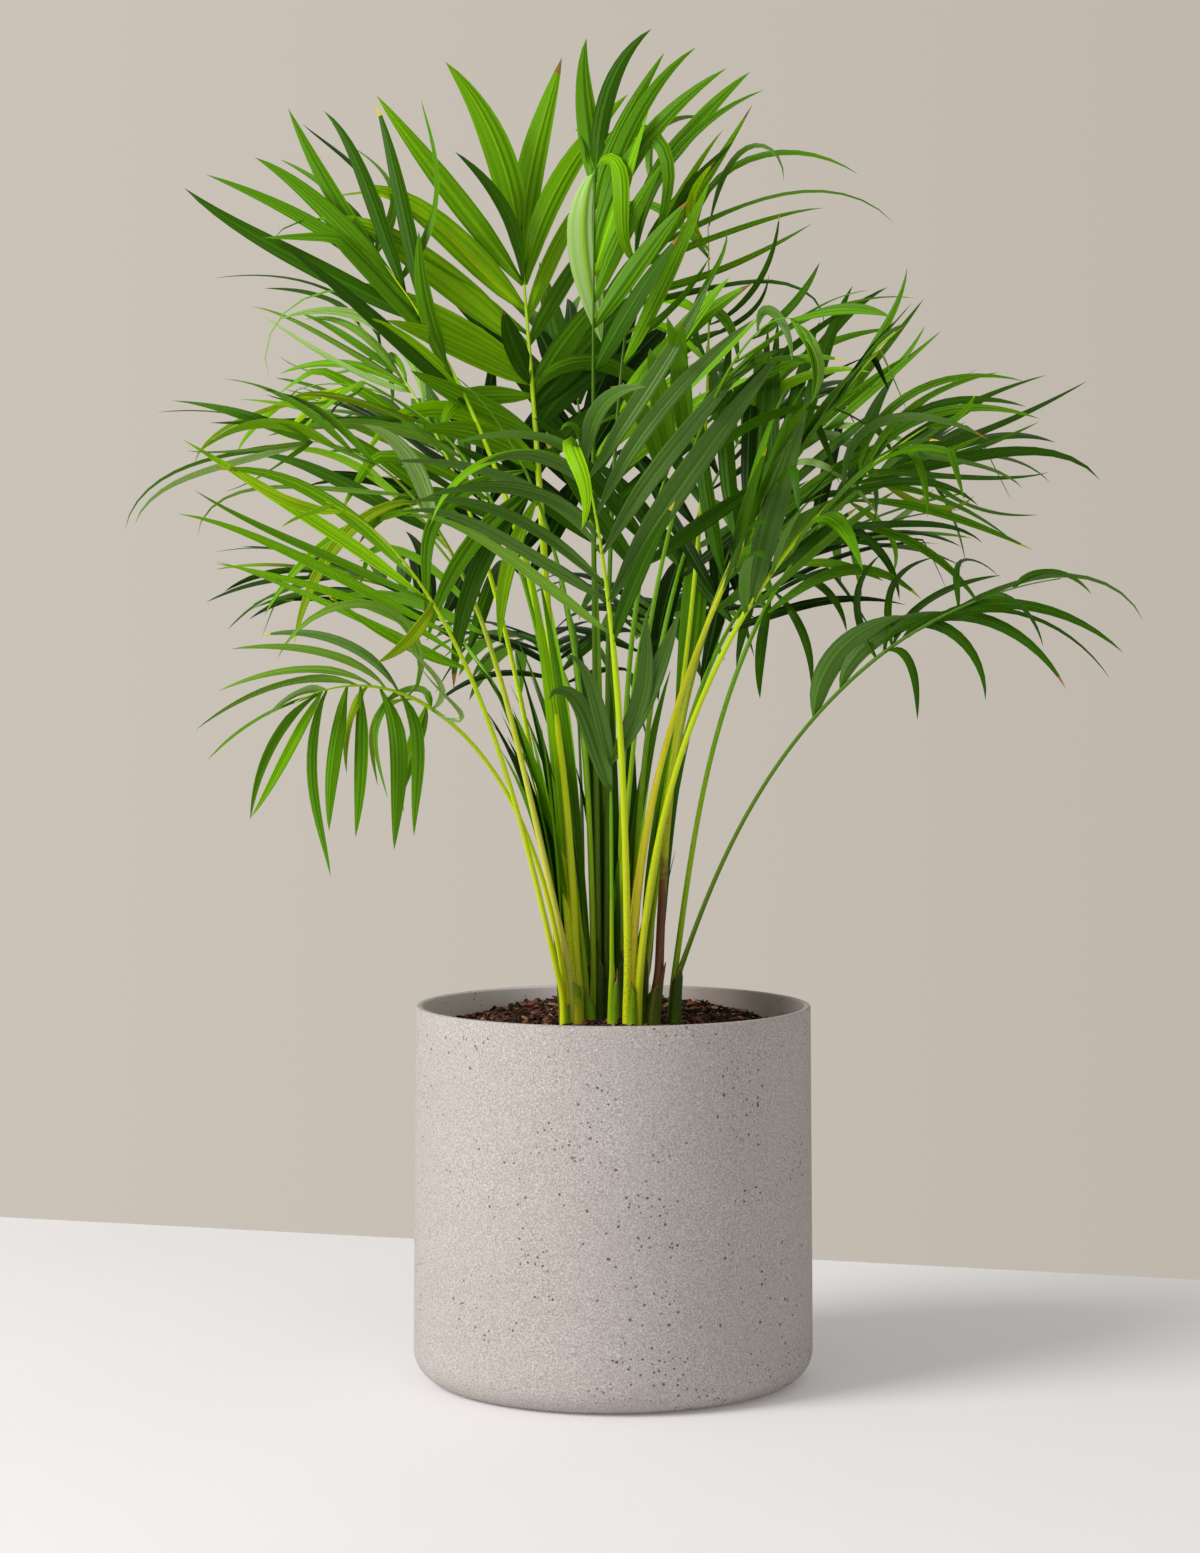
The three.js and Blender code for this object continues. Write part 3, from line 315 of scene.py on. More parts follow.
        (0.542, -1, 53, -2, 60, 42, 1.34, 129, 10.4, "bright"),
        (0.667, -1, 29, -14, 82, 44, 0.74, 149, 15.7, "fresh"),
        (0.708, -1, 104, -125, 83, 72, 0.4, 147, 19.0, "fresh"),
        (0.042, 1, 218, 5, 41, -8, 0.76, 102, 15.5, "fresh"),
        (0.083, 1, 192, 15, 39, -75, 1.76, 137, 11.6, "bright"),
        (0.167, 1, 213, 17, 23, 17, 0.4, 109, 14.2, "fresh"),
        (0.292, 1, 203, 44, -1, -88, 3.4, 90, 13.0, "fresh"),
        (0.333, 1, 211, 14, 21, 8, 1.98, 120, 14.3, "bright"),
        (0.333, 1, 231, 30, 55, 40, 0.49, 62, 14.3, "deep"),
        (0.375, 1, 189, 5, 28, -4, 4.01, 143, 18.9, "bright"),
        (0.375, 1, 181, 31, 32, -117, 2.71, 228, 3.3, "fresh"),
        (0.458, 1, 190, 5, 38, -9, 4.47, 163, 20.2, "bright"),
        (0.5, 1, 189, 7, 34, -60, 4.31, 194, 3.3, "fresh"),
        (0.583, 1, 185, 2, 44, -3, 4.5, 136, 18.3, "bright"),
        (0.583, 1, 184, 3, 45, -63, 3.56, 169, 3.3, "lime"),
        (0.667, 1, 243, -55, 100, 36, 0.53, 101, 9.2, "deep"),
        (0.667, 1, 185, 4, 51, 52, 0.95, 154, 15.1, "fresh"),
        (0.75, 1, 202, -17, 83, 47, 1.44, 139, 20.3, "fresh"),
    ),
    "frond_top_right": (
        (0.458, -1, 327, -32, 13, 38, 0.4, 93, 3.8, "mid"),
        (0.583, -1, 354, -13, 12, -97, 4.13, 144, 3.2, "deep"),
        (0.625, -1, 352, -6, -7, 30, 0.4, 125, 3.8, "fresh"),
        (0.667, -1, 348, -12, 45, 57, 0.4, 134, 6.4, "fresh"),
        (0.667, -1, 345, -10, 59, 46, 4.32, 111, 5.1, "bright"),
        (0.667, -1, 342, 0, 71, 40, 0.6, 109, 9.0, "deep"),
        (0.708, -1, 344, 14, 91, 20, 0.88, 148, 6.4, "mid"),
        (0.708, -1, 358, -5, 20, 3, 4.5, 127, 3.2, "fresh"),
        (0.75, -1, 356, -2, 27, -50, 2.67, 178, 2.6, "mid"),
        (0.792, -1, 344, 12, 114, 40, 0.4, 106, 7.7, "mid"),
        (1.0, 1, 106, -91, 72, -1, 1.07, 89, 3.9, "silver"),
    ),
    "frond_upper_left": (
        (0.625, -1, 155, -28, 75, 58, 4.5, 160, 10.9, "deep"),
        (0.792, -1, 158, -6, 69, 39, 4.5, 134, 10.3, "deep"),
        (0.833, -1, 44, -121, 49, 132, 1.17, 133, 4.5, "mid"),
        (0.958, -1, 56, 170, 65, 28, 1.06, 120, 3.9, "deep"),
        (0.958, -1, 38, 132, 55, 31, 1.4, 109, 3.9, "fresh"),
        (0.417, 1, 196, 13, 38, 21, 4.5, 73, 11.5, "bright"),
        (0.458, 1, 198, 79, 53, 76, 0.6, 97, 11.5, "mid"),
        (0.667, 1, 173, 5, 27, 40, 4.5, 178, 12.8, "deep"),
        (0.708, 1, 175, -1, 61, 20, 0.47, 166, 9.6, "mid"),
        (0.792, 1, 175, -2, 47, 27, 2.91, 131, 12.8, "mid"),
        (0.875, 1, 166, -7, 39, 64, 0.4, 129, 10.9, "mid"),
        (0.958, 1, 129, 13, 67, 24, 0.4, 118, 4.5, "mid"),
    ),
    "frond_upper_right_thin": (
        (0.167, -1, 341, -8, 33, -18, 2.43, 122, 7.1, "bright"),
        (0.216, -1, 323, -5, 38, -19, 1.73, 120, 7.7, "mid"),
        (0.412, -1, 321, -45, 89, -85, 0.4, 54, 7.1, "grey"),
        (0.461, -1, 226, 131, 41, 96, 4.5, 105, 5.2, "mid"),
        (0.559, -1, 335, -55, 20, 60, 2.53, 71, 3.2, "deep"),
        (0.608, -1, 329, -57, 5, 52, 0.4, 105, 3.9, "deep"),
        (0.608, -1, 272, 68, 120, -92, 0.4, 64, 7.1, "mid"),
        (0.902, -1, 350, -8, 185, -35, 0.41, 152, 4.5, "mid"),
        (0.902, -1, 212, 124, 42, 42, 1.51, 77, 5.8, "lime"),
        (1.0, -1, 293, 23, 59, -94, 2.14, 114, 3.9, "grey"),
    ),
}

# light
KEY_WATTS = 148.0
FILL_WATTS = 2.0
WORLD_LIGHT = 0.46

# ---------------------------------------------------------------- seeded rule

def hash01(*k):
    x = 1234567
    for v in k:
        x = (x ^ (int(v) + 0x9E3779B9 + ((x << 6) & 0xffffffff) + (x >> 2))) & 0xffffffff
        x = (x * 2654435761) & 0xffffffff
        x ^= x >> 15
    x = (x * 2246822519) & 0xffffffff
    x ^= x >> 13
    return (x & 0xffffff) / float(0x1000000)


def srgb(r, g, b):
    def lin(c):
        c /= 255
        return c / 12.92 if c <= 0.04045 else ((c + 0.055) / 1.055) ** 2.4
    return (lin(r), lin(g), lin(b), 1.0)


def unit(v):
    return v / np.maximum(np.linalg.norm(v, axis=-1, keepdims=True), 1e-9)


def midrib(f, n=60):
    t = (np.arange(n) + 0.5) / n
    e = np.radians(f["rise"] + (f["end"] - f["rise"]) * t ** f["bend"])
    a = np.radians(f["heading"] + f["turn"] * t)
    d = np.stack([np.cos(e) * np.cos(a), np.cos(e) * np.sin(a), np.sin(e)], 1)
    P = np.vstack([[0, 0, 0], np.cumsum(d, 0) * f["length"] / n]) + np.array(f["base"], float)
    T = unit(np.gradient(P, axis=0))
    t = np.linspace(0, 1, n + 1)
    a = np.radians(f["heading"] + f["turn"] * t)
    B = np.stack([-np.sin(a), np.cos(a), 0 * a], 1)
    B = unit(B - (B * T).sum(1)[:, None] * T)
    N = np.cross(T, B)
    r = np.radians(f["roll"])
    return P, T, B * np.cos(r) + N * np.sin(r), N * np.cos(r) - B * np.sin(r)


def at(A, s):
    x = s * (len(A) - 1)
    i = int(min(max(math.floor(x), 0), len(A) - 2))
    return A[i] * (1 - x + i) + A[i + 1] * (x - i)


# ---------------------------------------------------------------- meshes and materials

def piece(name, verts, faces, materials, kinds=None, smooth=True, sharp=None, attrs=None):
    me = bpy.data.meshes.new(name)
    me.from_pydata((np.asarray(verts) * MM).tolist(), [], faces)
    for m in materials:
        me.materials.append(m)
    if kinds is not None:
        me.polygons.foreach_set("material_index", np.asarray(kinds, np.int32))
    me.polygons.foreach_set("use_smooth", np.full(len(me.polygons), smooth))
    if sharp is not None:
        ev = np.empty(len(me.edges) * 2, np.int32)
        me.edges.foreach_get("vertices", ev)
        ev = ev.reshape(-1, 2)
        at_ = me.attributes.get("sharp_edge") or me.attributes.new("sharp_edge", "BOOLEAN", "EDGE")
        at_.data.foreach_set("value", sharp(ev[:, 0], ev[:, 1]))
    for key, values in (attrs or {}).items():
        a = me.attributes.new(key, "FLOAT", "POINT")
        a.data.foreach_set("value", np.asarray(values, np.float32))
    me.validate()
    me.update()
    ob = bpy.data.objects.new(name, me)
    bpy.context.scene.collection.objects.link(ob)
    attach(ob, "root")
    return ob


def plain(name, colour, roughness, specular=0.5):
    """A plain base colour, roughness and specular level."""
    m = bpy.data.materials.new(name)
    m.use_nodes = True
    p = m.node_tree.nodes["Principled BSDF"]
    p.inputs["Base Color"].default_value = colour
    p.inputs["Roughness"].default_value = roughness
    p.inputs["Specular IOR Level"].default_value = specular
    return m


class Nodes:
    """Short hand for a node tree."""

    def __init__(self, name):
        self.m = bpy.data.materials.new(name)
        self.m.use_nodes = True
        self.t = self.m.node_tree
        self.p = self.t.nodes["Principled BSDF"]

    def node(self, kind, **values):
        n = self.t.nodes.new(kind)
        for k, v in values.items():
            setattr(n, k, v)
        return n

    def put(self, socket, value):
        if isinstance(value, bpy.types.NodeSocket):
            self.t.links.new(value, socket)
        elif value is not None:
            socket.default_value = value

    def place(self, scale=(1, 1, 1)):
        c = self.node("ShaderNodeTexCoord")
        m = self.node("ShaderNodeMapping")
        self.put(m.inputs["Vector"], c.outputs["Object"])
        m.inputs["Scale"].default_value = scale
        return m.outputs[0]

    def noise(self, vector, scale, detail=2.0, rough=0.5, distortion=0.0):
        n = self.node("ShaderNodeTexNoise")
        self.put(n.inputs["Vector"], vector)
        n.inputs["Scale"].default_value = scale
        n.inputs["Detail"].default_value = detail
        n.inputs["Roughness"].default_value = rough
        n.inputs["Distortion"].default_value = distortion
        return n.outputs["Fac"]

    def voronoi(self, vector, scale, feature="F1", randomness=1.0):
        n = self.node("ShaderNodeTexVoronoi", feature=feature)
        self.put(n.inputs["Vector"], vector)
        n.inputs["Scale"].default_value = scale
        n.inputs["Randomness"].default_value = randomness
        return n

    def ramp(self, fac, *stops):
        n = self.node("ShaderNodeValToRGB")
        self.put(n.inputs["Fac"], fac)
        e = n.color_ramp.elements
        while len(e) < len(stops):
            e.new(0.5)
        for x, (pos, col) in zip(e, stops):
            x.position = pos
            x.color = col if len(col) == 4 else (*col, 1)
        return n.outputs["Color"]

    def step(self, fac, lo, hi, a=0.0, b=1.0):
        n = self.node("ShaderNodeMapRange", clamp=True)
        self.put(n.inputs["Value"], fac)
        n.inputs["From Min"].default_value = lo
        n.inputs["From Max"].default_value = hi
        n.inputs["To Min"].default_value = a
        n.inputs["To Max"].default_value = b
        return n.outputs["Result"]

    def maths(self, op, a, b=None):
        n = self.node("ShaderNodeMath", operation=op)
        self.put(n.inputs[0], a)
        if b is not None:
            self.put(n.inputs[1], b)
        return n.outputs[0]

    def mix(self, fac, a, b, blend="MIX"):
        n = self.node("ShaderNodeMix", data_type="RGBA", blend_type=blend)
        self.put(n.inputs[0], fac)
        self.put(n.inputs[6], a)
        self.put(n.inputs[7], b)
        return n.outputs[2]

    def attribute(self, name):
        return self.node("ShaderNodeAttribute", attribute_name=name).outputs["Fac"]

    def bump(self, height, distance, strength=1.0, normal=None):
        n = self.node("ShaderNodeBump")
        n.inputs["Strength"].default_value = strength
        n.inputs["Distance"].default_value = distance
        self.put(n.inputs["Height"], height)
        if normal is not None:
            self.put(n.inputs["Normal"], normal)
        return n.outputs[0]

    def done(self, colour=None, roughness=None, normal=None, specular=None):
        self.put(self.p.inputs["Base Color"], colour)
        self.put(self.p.inputs["Roughness"], roughness)
        self.put(self.p.inputs["Specular IOR Level"], specular)
        if normal is not None:
            self.put(self.p.inputs["Normal"], normal)
        return self.m


# ---------------------------------------------------------------- leaf tints: plain base colours, dealt out by leaflet

SHINE = 0.09
# the tints stand partly for the leaflets' own greens and partly for painted light and shade: bright and lime paint the
# glow of leaflets lit from behind, deep and dark paint leaflets in the shade inside the crown, and silver and pale
# paint a sheen
TINT = {
    "bright": plain("leaf_bright", srgb(138, 192, 4), 0.42, SHINE),
    "bright2": plain("leaf_bright_stripe", srgb(117, 170, 2), 0.42, SHINE),
    "lime": plain("leaf_lime", srgb(170, 210, 10), 0.42, SHINE),
    "lime2": plain("leaf_lime_stripe", srgb(150, 195, 6), 0.42, SHINE),
    "fresh": plain("leaf_fresh", srgb(110, 167, 2), 0.42, SHINE),
    "fresh2": plain("leaf_fresh_stripe", srgb(94, 148, 2), 0.42, SHINE),
    "mid": plain("leaf_mid", srgb(86, 138, 2), 0.42, SHINE),
    "mid2": plain("leaf_mid_stripe", srgb(73, 121, 2), 0.42, SHINE),
    "deep": plain("leaf_deep", srgb(51, 92, 1), 0.4, 0.08),
    "deep2": plain("leaf_deep_stripe", srgb(46, 85, 1), 0.4, 0.08),
    "dark": plain("leaf_dark", srgb(22, 48, 1), 0.4, 0.05),
    "dark2": plain("leaf_dark_stripe", srgb(19, 43, 1), 0.4, 0.05),
    "grey": plain("leaf_grey_green", srgb(72, 110, 22), 0.5, 0.3),
    "grey2": plain("leaf_grey_green_stripe", srgb(66, 103, 20), 0.5, 0.3),
    "gold": plain("leaf_gold", srgb(134, 160, 12), 0.45, SHINE),
    "gold2": plain("leaf_gold_stripe", srgb(122, 150, 10), 0.45, SHINE),
    "silver": plain("leaf_silver", srgb(114, 155, 52), 0.5, SHINE),
    "silver2": plain("leaf_silver_stripe", srgb(101, 142, 42), 0.5, SHINE),
    "pale": plain("leaf_pale", srgb(158, 190, 112), 0.5, SHINE),
    "pale2": plain("leaf_pale_stripe", srgb(134, 172, 84), 0.5, SHINE),
    "rib": plain("leaf_rib", srgb(134, 184, 14), 0.42, SHINE),
    "rib_deep": plain("leaf_rib_deep", srgb(62, 104, 8), 0.42, SHINE),
    "tip_gold": plain("leaf_tip_gold", srgb(190, 180, 50), 0.55, SHINE),
    "tip_brown": plain("leaf_tip_brown", srgb(140, 104, 50), 0.7, SHINE),
}
TINTS = list(TINT)

# the tint pairs of a frond, each with its share
GREENS = {
    "bright": (("bright", 0.55), ("lime", 0.2), ("fresh", 0.25)),
    "fresh": (("fresh", 0.5), ("bright", 0.15), ("mid", 0.35)),
    "mid": (("mid", 0.5), ("fresh", 0.25), ("deep", 0.25)),
    "deep": (("deep", 0.5), ("mid", 0.25), ("dark", 0.25)),
    "dark": (("dark", 0.45), ("deep", 0.4), ("mid", 0.15)),
    "grey": (("grey", 0.65), ("deep", 0.2), ("fresh", 0.15)),
}

# frond: greens, stalk kind, stalk radius at its foot and where its leaflets begin, speckle at the foot
LOOKS = {
    # the top centre frond's bright greens paint the glow of its leaflets lit from behind
    "frond_top_centre": ("bright", "lime", 3.0, 2.2, 1.3),
    "frond_upper_left": ("deep", "lime", 2.5, 1.9, 0.1),
    # the two top fronds below get the dark stalk kind as painted shade, so their stalks read as shadow between the
    # leaves
    "frond_top_back": ("mid", "dark", 2.0, 1.6, 0.1),
    "frond_top_right": ("mid", "dark", 1.8, 1.4, 0.1),
    "frond_upper_right_thin": ("mid", "lime", 1.8, 1.4, 0.3),
    "frond_right_front": ("deep", "lime", 2.4, 1.8, 0.1),
    "frond_right_back": ("deep", "green", 1.9, 1.5, 0.2),
    "frond_right_high": ("deep", "olive", 2.7, 1.9, 1.5),
    "frond_right_inner": ("deep", "yellow", 3.5, 1.7, 1.0),
    "frond_right_low": ("deep", "dark", 1.7, 1.3, 0.3),
    "frond_front_centre": ("grey", "lime", 2.3, 2.0, 1.2),
    "frond_left_front": ("fresh", "lime", 1.8, 1.5, 0.1),
    "frond_left_arching": ("mid", "tan", 2.2, 1.7, 0.5),
    "frond_left_low": ("fresh", "lime", 1.7, 1.3, 0.1),
    "frond_left_high": ("fresh", "lime", 1.8, 1.4, 0.1),
    "frond_left_middle": ("fresh", "green", 1.7, 1.3, 0.1),
    "frond_front_right": ("deep", "green", 1.7, 1.3, 0.1),
    "frond_front_young": ("grey", "green", 1.4, 1.1, 0.0),
}
# fronds whose lower leaflets sit in the shade of the crown, painted dark as painted shade
PAINTED_SHADE_FRONDS = ("frond_back_centre", "frond_back_right", "frond_back_left", "frond_inner_right", "frond_inner_left",
         "frond_side_left", "frond_side_right", "frond_back_low_left", "frond_back_low_right")
OTHER_LOOK = ("deep", "green", 1.9, 1.5, 0.2)

# ---------------------------------------------------------------- leaflets

# share of the rule's leaflets left out where the photograph shows gaps
FEWER = {"frond_top_centre": 1.0, "frond_front_centre": 1.0, "frond_front_young": 1.0, "frond_right_low": 0.7,
         "frond_left_low": 0.85, "frond_left_front": 1.0, "frond_upper_right_thin": 0.5, "frond_left_arching": 0.5,
         "frond_upper_left": 0.5, "frond_left_high": 0.3, "frond_top_back": 0.2, "frond_inner_left": 1.0,
         "frond_inner_right": 0.6, "frond_front_right": 0.5, "frond_left_middle": 0.4, "frond_right_front": 0.2}

# fronds with a side whose rule's leaflets would lie across a frond that the photograph shows in full
ONE_SIDED = {"frond_upper_left": -1, "frond_left_middle": -1, "frond_left_high": -1, "frond_top_right": 1,
             "frond_top_back": 1, "frond_front_right": -1}

# share of the rachis, from its foot, without the rule's leaflets
BARE = {"frond_upper_left": 0.22}

ROWS = 14                                        # rows of quads along a leaflet, the last one a fan to its tip
ACROSS = np.array([-1, -0.76, -0.52, -0.28, -0.07, 0.07, 0.28, 0.52, 0.76, 1.0])
PLEAT = np.array([0.0, -0.018, 0.022, -0.022, 0.02, 0.02, -0.022, 0.022, -0.018, 0.0])
COLS = len(ACROSS) - 1


def leaflet_topology():
    """Faces of one leaflet as a closed thin lens, with the strip, row and side (0 above, 1 below) of each face."""
    top = np.arange(ROWS * (COLS + 1)).reshape(ROWS, COLS + 1)
    low = top.copy()
    low[:, 1:-1] = ROWS * (COLS + 1) + np.arange(ROWS * (COLS - 1)).reshape(ROWS, COLS - 1)
    tip = ROWS * (COLS + 1) + ROWS * (COLS - 1)
    faces, info = [], []
    for r in range(ROWS):
        for c in range(COLS):
            if r < ROWS - 1:
                faces.append((top[r, c], top[r + 1, c], top[r + 1, c + 1], top[r, c + 1]))
                faces.append((low[r, c], low[r, c + 1], low[r + 1, c + 1], low[r + 1, c]))
            else:
                faces.append((top[r, c], tip, top[r, c + 1]))
                faces.append((low[r, c], low[r, c + 1], tip))
            info += [(c, r, 0), (c, r, 1)]
    for c in range(COLS):
        f = [top[0, c], top[0, c + 1], low[0, c + 1], low[0, c]]
        f = tuple(int(v) for i, v in enumerate(f) if v not in f[:i])
        faces.append(f)
        info.append((c, 0, 1))
    cols = np.concatenate([np.tile(np.arange(COLS + 1), ROWS), np.tile(np.arange(1, COLS), ROWS), [-1]])
    return [tuple(int(v) for v in f) for f in faces], np.array(info), cols, tip + 1


FACES, INFO, COL_OF, COUNT = leaflet_topology()
WIDTH_AT = ([0, 0.05, 0.15, 0.3, 0.45, 0.6, 0.75, 0.87, 0.95, 1], [0.28, 0.48, 0.78, 0.98, 1, 0.9, 0.66, 0.4, 0.19, 0.04])


def lay_blade(C, W, half, twist, droopy=1.0):
    """Vertices of one leaflet: a thin pleated lens laid along C, its width along W at each row."""
    D = unit(np.gradient(C, axis=0))
    W = unit(W - (W * D).sum(1)[:, None] * D)
    Z = np.cross(D, W)
    vv = np.linspace(0, 1, ROWS + 1)
    twist = twist[:, None]
    W, Z = W * np.cos(twist) + Z * np.sin(twist), Z * np.cos(twist) - W * np.sin(twist)
    wide = half * np.interp(vv, *WIDTH_AT)
    fold = np.radians(9 + 34 * np.exp(-vv / 0.16))
    V = np.empty((COUNT, 3))
    x = ACROSS[None, :, None]
    wr = wide[:ROWS, None, None]
    fr = fold[:ROWS, None, None]
    Ct, Wt, Zt = C[:ROWS, None], W[:ROWS, None], Z[:ROWS, None]
    wave = 1 - np.exp(-vv[:ROWS] / 0.1)
    top = (Ct + Wt * x * wr * np.cos(fr) - Zt * np.abs(x) * wr * np.sin(fr)
           + Zt * PLEAT[None, :, None] * wr * 0.8 * wave[:, None, None])
    thick = 0.16 + 0.34 * (1 - vv[:ROWS, None, None])
    V[:ROWS * (COLS + 1)] = top.reshape(-1, 3)
    V[ROWS * (COLS + 1):-1] = (top[:, 1:-1] - Zt * thick).reshape(-1, 3)
    V[-1] = C[-1]
    return V


def carried(C, w):
    """A width direction carried along the line C without turning about it."""
    D = unit(np.gradient(C, axis=0))
    W = np.empty_like(C)
    for k in range(len(C)):
        w = w - w.dot(D[k]) * D[k]
        w = w / max(np.linalg.norm(w), 1e-6)
        W[k] = w
    return W


def measured(f, fi, frame_of):
    """The leaflets that the photograph shows well enough to size: line, width and tint of each."""
    P, T, B, N = frame_of
    out = []
    vv = np.linspace(0, 1, ROWS + 1)
    for j, (u, side, heading, turn, rise, end, bend, length, width, tint) in enumerate(MEASURED.get(f["name"], ())):
        h = lambda k: hash01(fi, 400 + j, 7, k) * 2 - 1
        s = f["bare"] + (1 - f["bare"]) * u
        o, t, b, nn = at(P, s), at(T, s), at(B, s), at(N, s)
        m = 2 * ROWS
        v = (np.arange(m) + 0.5) / m
        e = np.radians(rise + (end - rise) * v ** bend)
        a = np.radians(heading + turn * v)
        d = np.stack([np.cos(e) * np.cos(a), np.cos(e) * np.sin(a), np.sin(e)], 1)
        C = np.vstack([[0, 0, 0], np.cumsum(d, 0) * length / m])[::2] + o
        D = unit(np.gradient(C, axis=0))
        flat = carried(C, t if np.dot(np.cross(D[0], t), nn) > 0 else -t)
        # the blade turns its face towards the front as far as its measured width says
        facing = unit(np.cross(D, [0.0, 1.0, 0.0]))
        real = max(width, 0.55 * f["width"])
        turned = math.acos(min(1.0, width / real)) * (1 if h(1) > 0 else -1)
        side_of = 1 if (facing[3] * flat[3]).sum() > 0 else -1
        W = carried(C, side_of * facing[4])
        lead = np.clip(vv / 0.3, 0, 1)[:, None]
        face = side_of * facing
        for k in range(1, len(face)):
            if face[k].dot(face[k - 1]) < 0:
                face[k] = -face[k]
        W = unit(flat * (1 - lead) + face * lead)
        twist = turned * np.clip(vv / 0.4, 0, 1) + np.radians(12) * h(2) * vv
        out.append((lay_blade(C, W, real / 2, twist), 400 + j, side, u, tint))
    return out


def leaflets(f, fi):
    """Vertices of each leaflet of one frond, with its number, side, place on the rachis and tint if measured."""
    P, T, B, N = midrib(f)
    out = measured(f, fi, (P, T, B, N))
    taken = [(side, u) for _, _, side, u, _ in out]
    n, p = f["pairs"], f["bare"]
    vv = np.linspace(0, 1, ROWS + 1)
    slots = []
    for i in range(n):
        for side in (-1, 1):
            u = min(max((i + 0.5 + 0.28 * (hash01(fi, i, side + 5, 1) * 2 - 1) + (0.25 if side > 0 else 0)) / n, 0), 1)
            slots.append([i, side, 1.0 if i == n - 1 else u])
    # a measured leaflet takes the place of the nearest one of the rule
    for side, u in taken:
        near = [q for q in slots if q[1] == side] or slots
        if near:
            best = min(near, key=lambda q: abs(q[2] - u))
            if abs(best[2] - u) < 2.2 / n:
                slots.remove(best)
    for i, side, u in slots:
        if hash01(fi, i, side + 5, 30) < FEWER.get(f["name"], 0.0) or side == ONE_SIDED.get(f["name"]):
            continue
        if u < BARE.get(f["name"], 0.0):
            continue
        h = lambda k: hash01(fi, i, side + 5, k) * 2 - 1
        s = p + (1 - p) * u
        o, t, b, nn = at(P, s), at(T, s), at(B, s), at(N, s)
        reach = np.interp(u, [0, 0.15, 0.4, 0.7, 1], f["reach"])
        ln = f["leaf"] * reach * (1 + 0.1 * h(2)) * (1 + side * f["uneven"])
        sp = np.radians(np.interp(u, [0, 1], f["splay"]) + 8 * h(3) + side * f["skew"])
        lf = np.radians(f["lift"] + 15 * h(4))
        d = math.cos(sp) * t + math.sin(sp) * (math.cos(lf) * side * b + math.sin(lf) * nn)
        droop = f["droop"][(side + 1) // 2] * (1 + 0.6 * h(5)) + 0.12 * (1 + h(10))
        sweep = f["sweep"] * (1 + 0.4 * h(6))
        m = 2 * ROWS
        v = (np.arange(m) + 0.5) / m
        aside = unit(np.cross(d, nn))
        steps = d + np.outer(droop * v ** 1.6, [0, 0, -1]) + np.outer(sweep * v, t) + np.outer(0.22 * h(11) * v ** 1.3, aside)
        if hash01(fi, i, side + 5, 12) < 0.14:
            # a leaflet folded over by its own weight
            at_fold = 0.45 + 0.35 * hash01(fi, i, side + 5, 13)
            steps += np.outer(np.clip((v - at_fold) / 0.05, 0, 1) * (1.6 + h(14)), [0, 0, -1])
        steps = unit(steps)
        C = np.vstack([[0, 0, 0], np.cumsum(steps, 0) * ln / m])[::2] + o
        D = unit(np.gradient(C, axis=0))
        # the blade's width starts in the plane of the frond and is carried along
        w = unit(t - t.dot(D[0]) * D[0])
        if np.dot(np.cross(D[0], w), nn) < 0:
            w = -w
        W = carried(C, w)
        twist = np.radians(14 * h(7) + 34 * h(8) * vv ** 1.5)
        out.append((lay_blade(C, W, f["width"] * (1 + 0.15 * h(9)) / 2, twist), i, side, u, None))
    return out


def leaf_kinds(f, fi, look, i, side, u, tint=None):
    """Material of each face of one leaflet."""
    h = lambda k: hash01(fi, i, side + 5, k)
    r = h(20)
    main = GREENS[look[0]][-1][0]
    for green, share in GREENS[look[0]]:
        if r < share:
            main = green
            break
        r -= share
    if h(21) < 0.012:
        main = "gold"
    # lower leaflets of these fronds take the dark and deep tints as painted shade of the crown
    if f["name"] in PAINTED_SHADE_FRONDS and u < 0.5 and not tint:
        main = "dark" if h(26) < 0.7 else "deep"
    main = tint or main
    alt = main + "2"
    k = np.full(len(FACES), TINTS.index(main))
    strip = (INFO[:, 0] + (1 if h(22) > 0.5 else 0)) % 2
    k[strip == 1] = TINTS.index(alt)
    rib = "rib" if main in ("bright", "lime", "fresh", "gold", "silver", "pale") else "deep" if main == "dark" else "rib_deep"
    k[INFO[:, 0] == COLS // 2] = TINTS.index(rib)
    under = {"bright": "lime2", "lime": "lime", "fresh": "bright2", "mid": "fresh2", "deep": "mid", "dark": "deep",
             "grey": "silver2", "gold": "gold", "silver": "silver", "pale": "pale"}[main]
    if not tint:
        k[INFO[:, 2] == 1] = TINTS.index(under)
    if h(23) < 0.16:
        rows = ROWS - 1
        k[INFO[:, 1] >= rows] = TINTS.index("tip_gold" if h(25) < 0.6 else "tip_brown")
    return k


def sharp_lines(cols):
    def rule(a, b):
        return (cols[a] == cols[b]) | (cols[a] < 0) | (cols[b] < 0)
    return rule


# ---------------------------------------------------------------- stalks

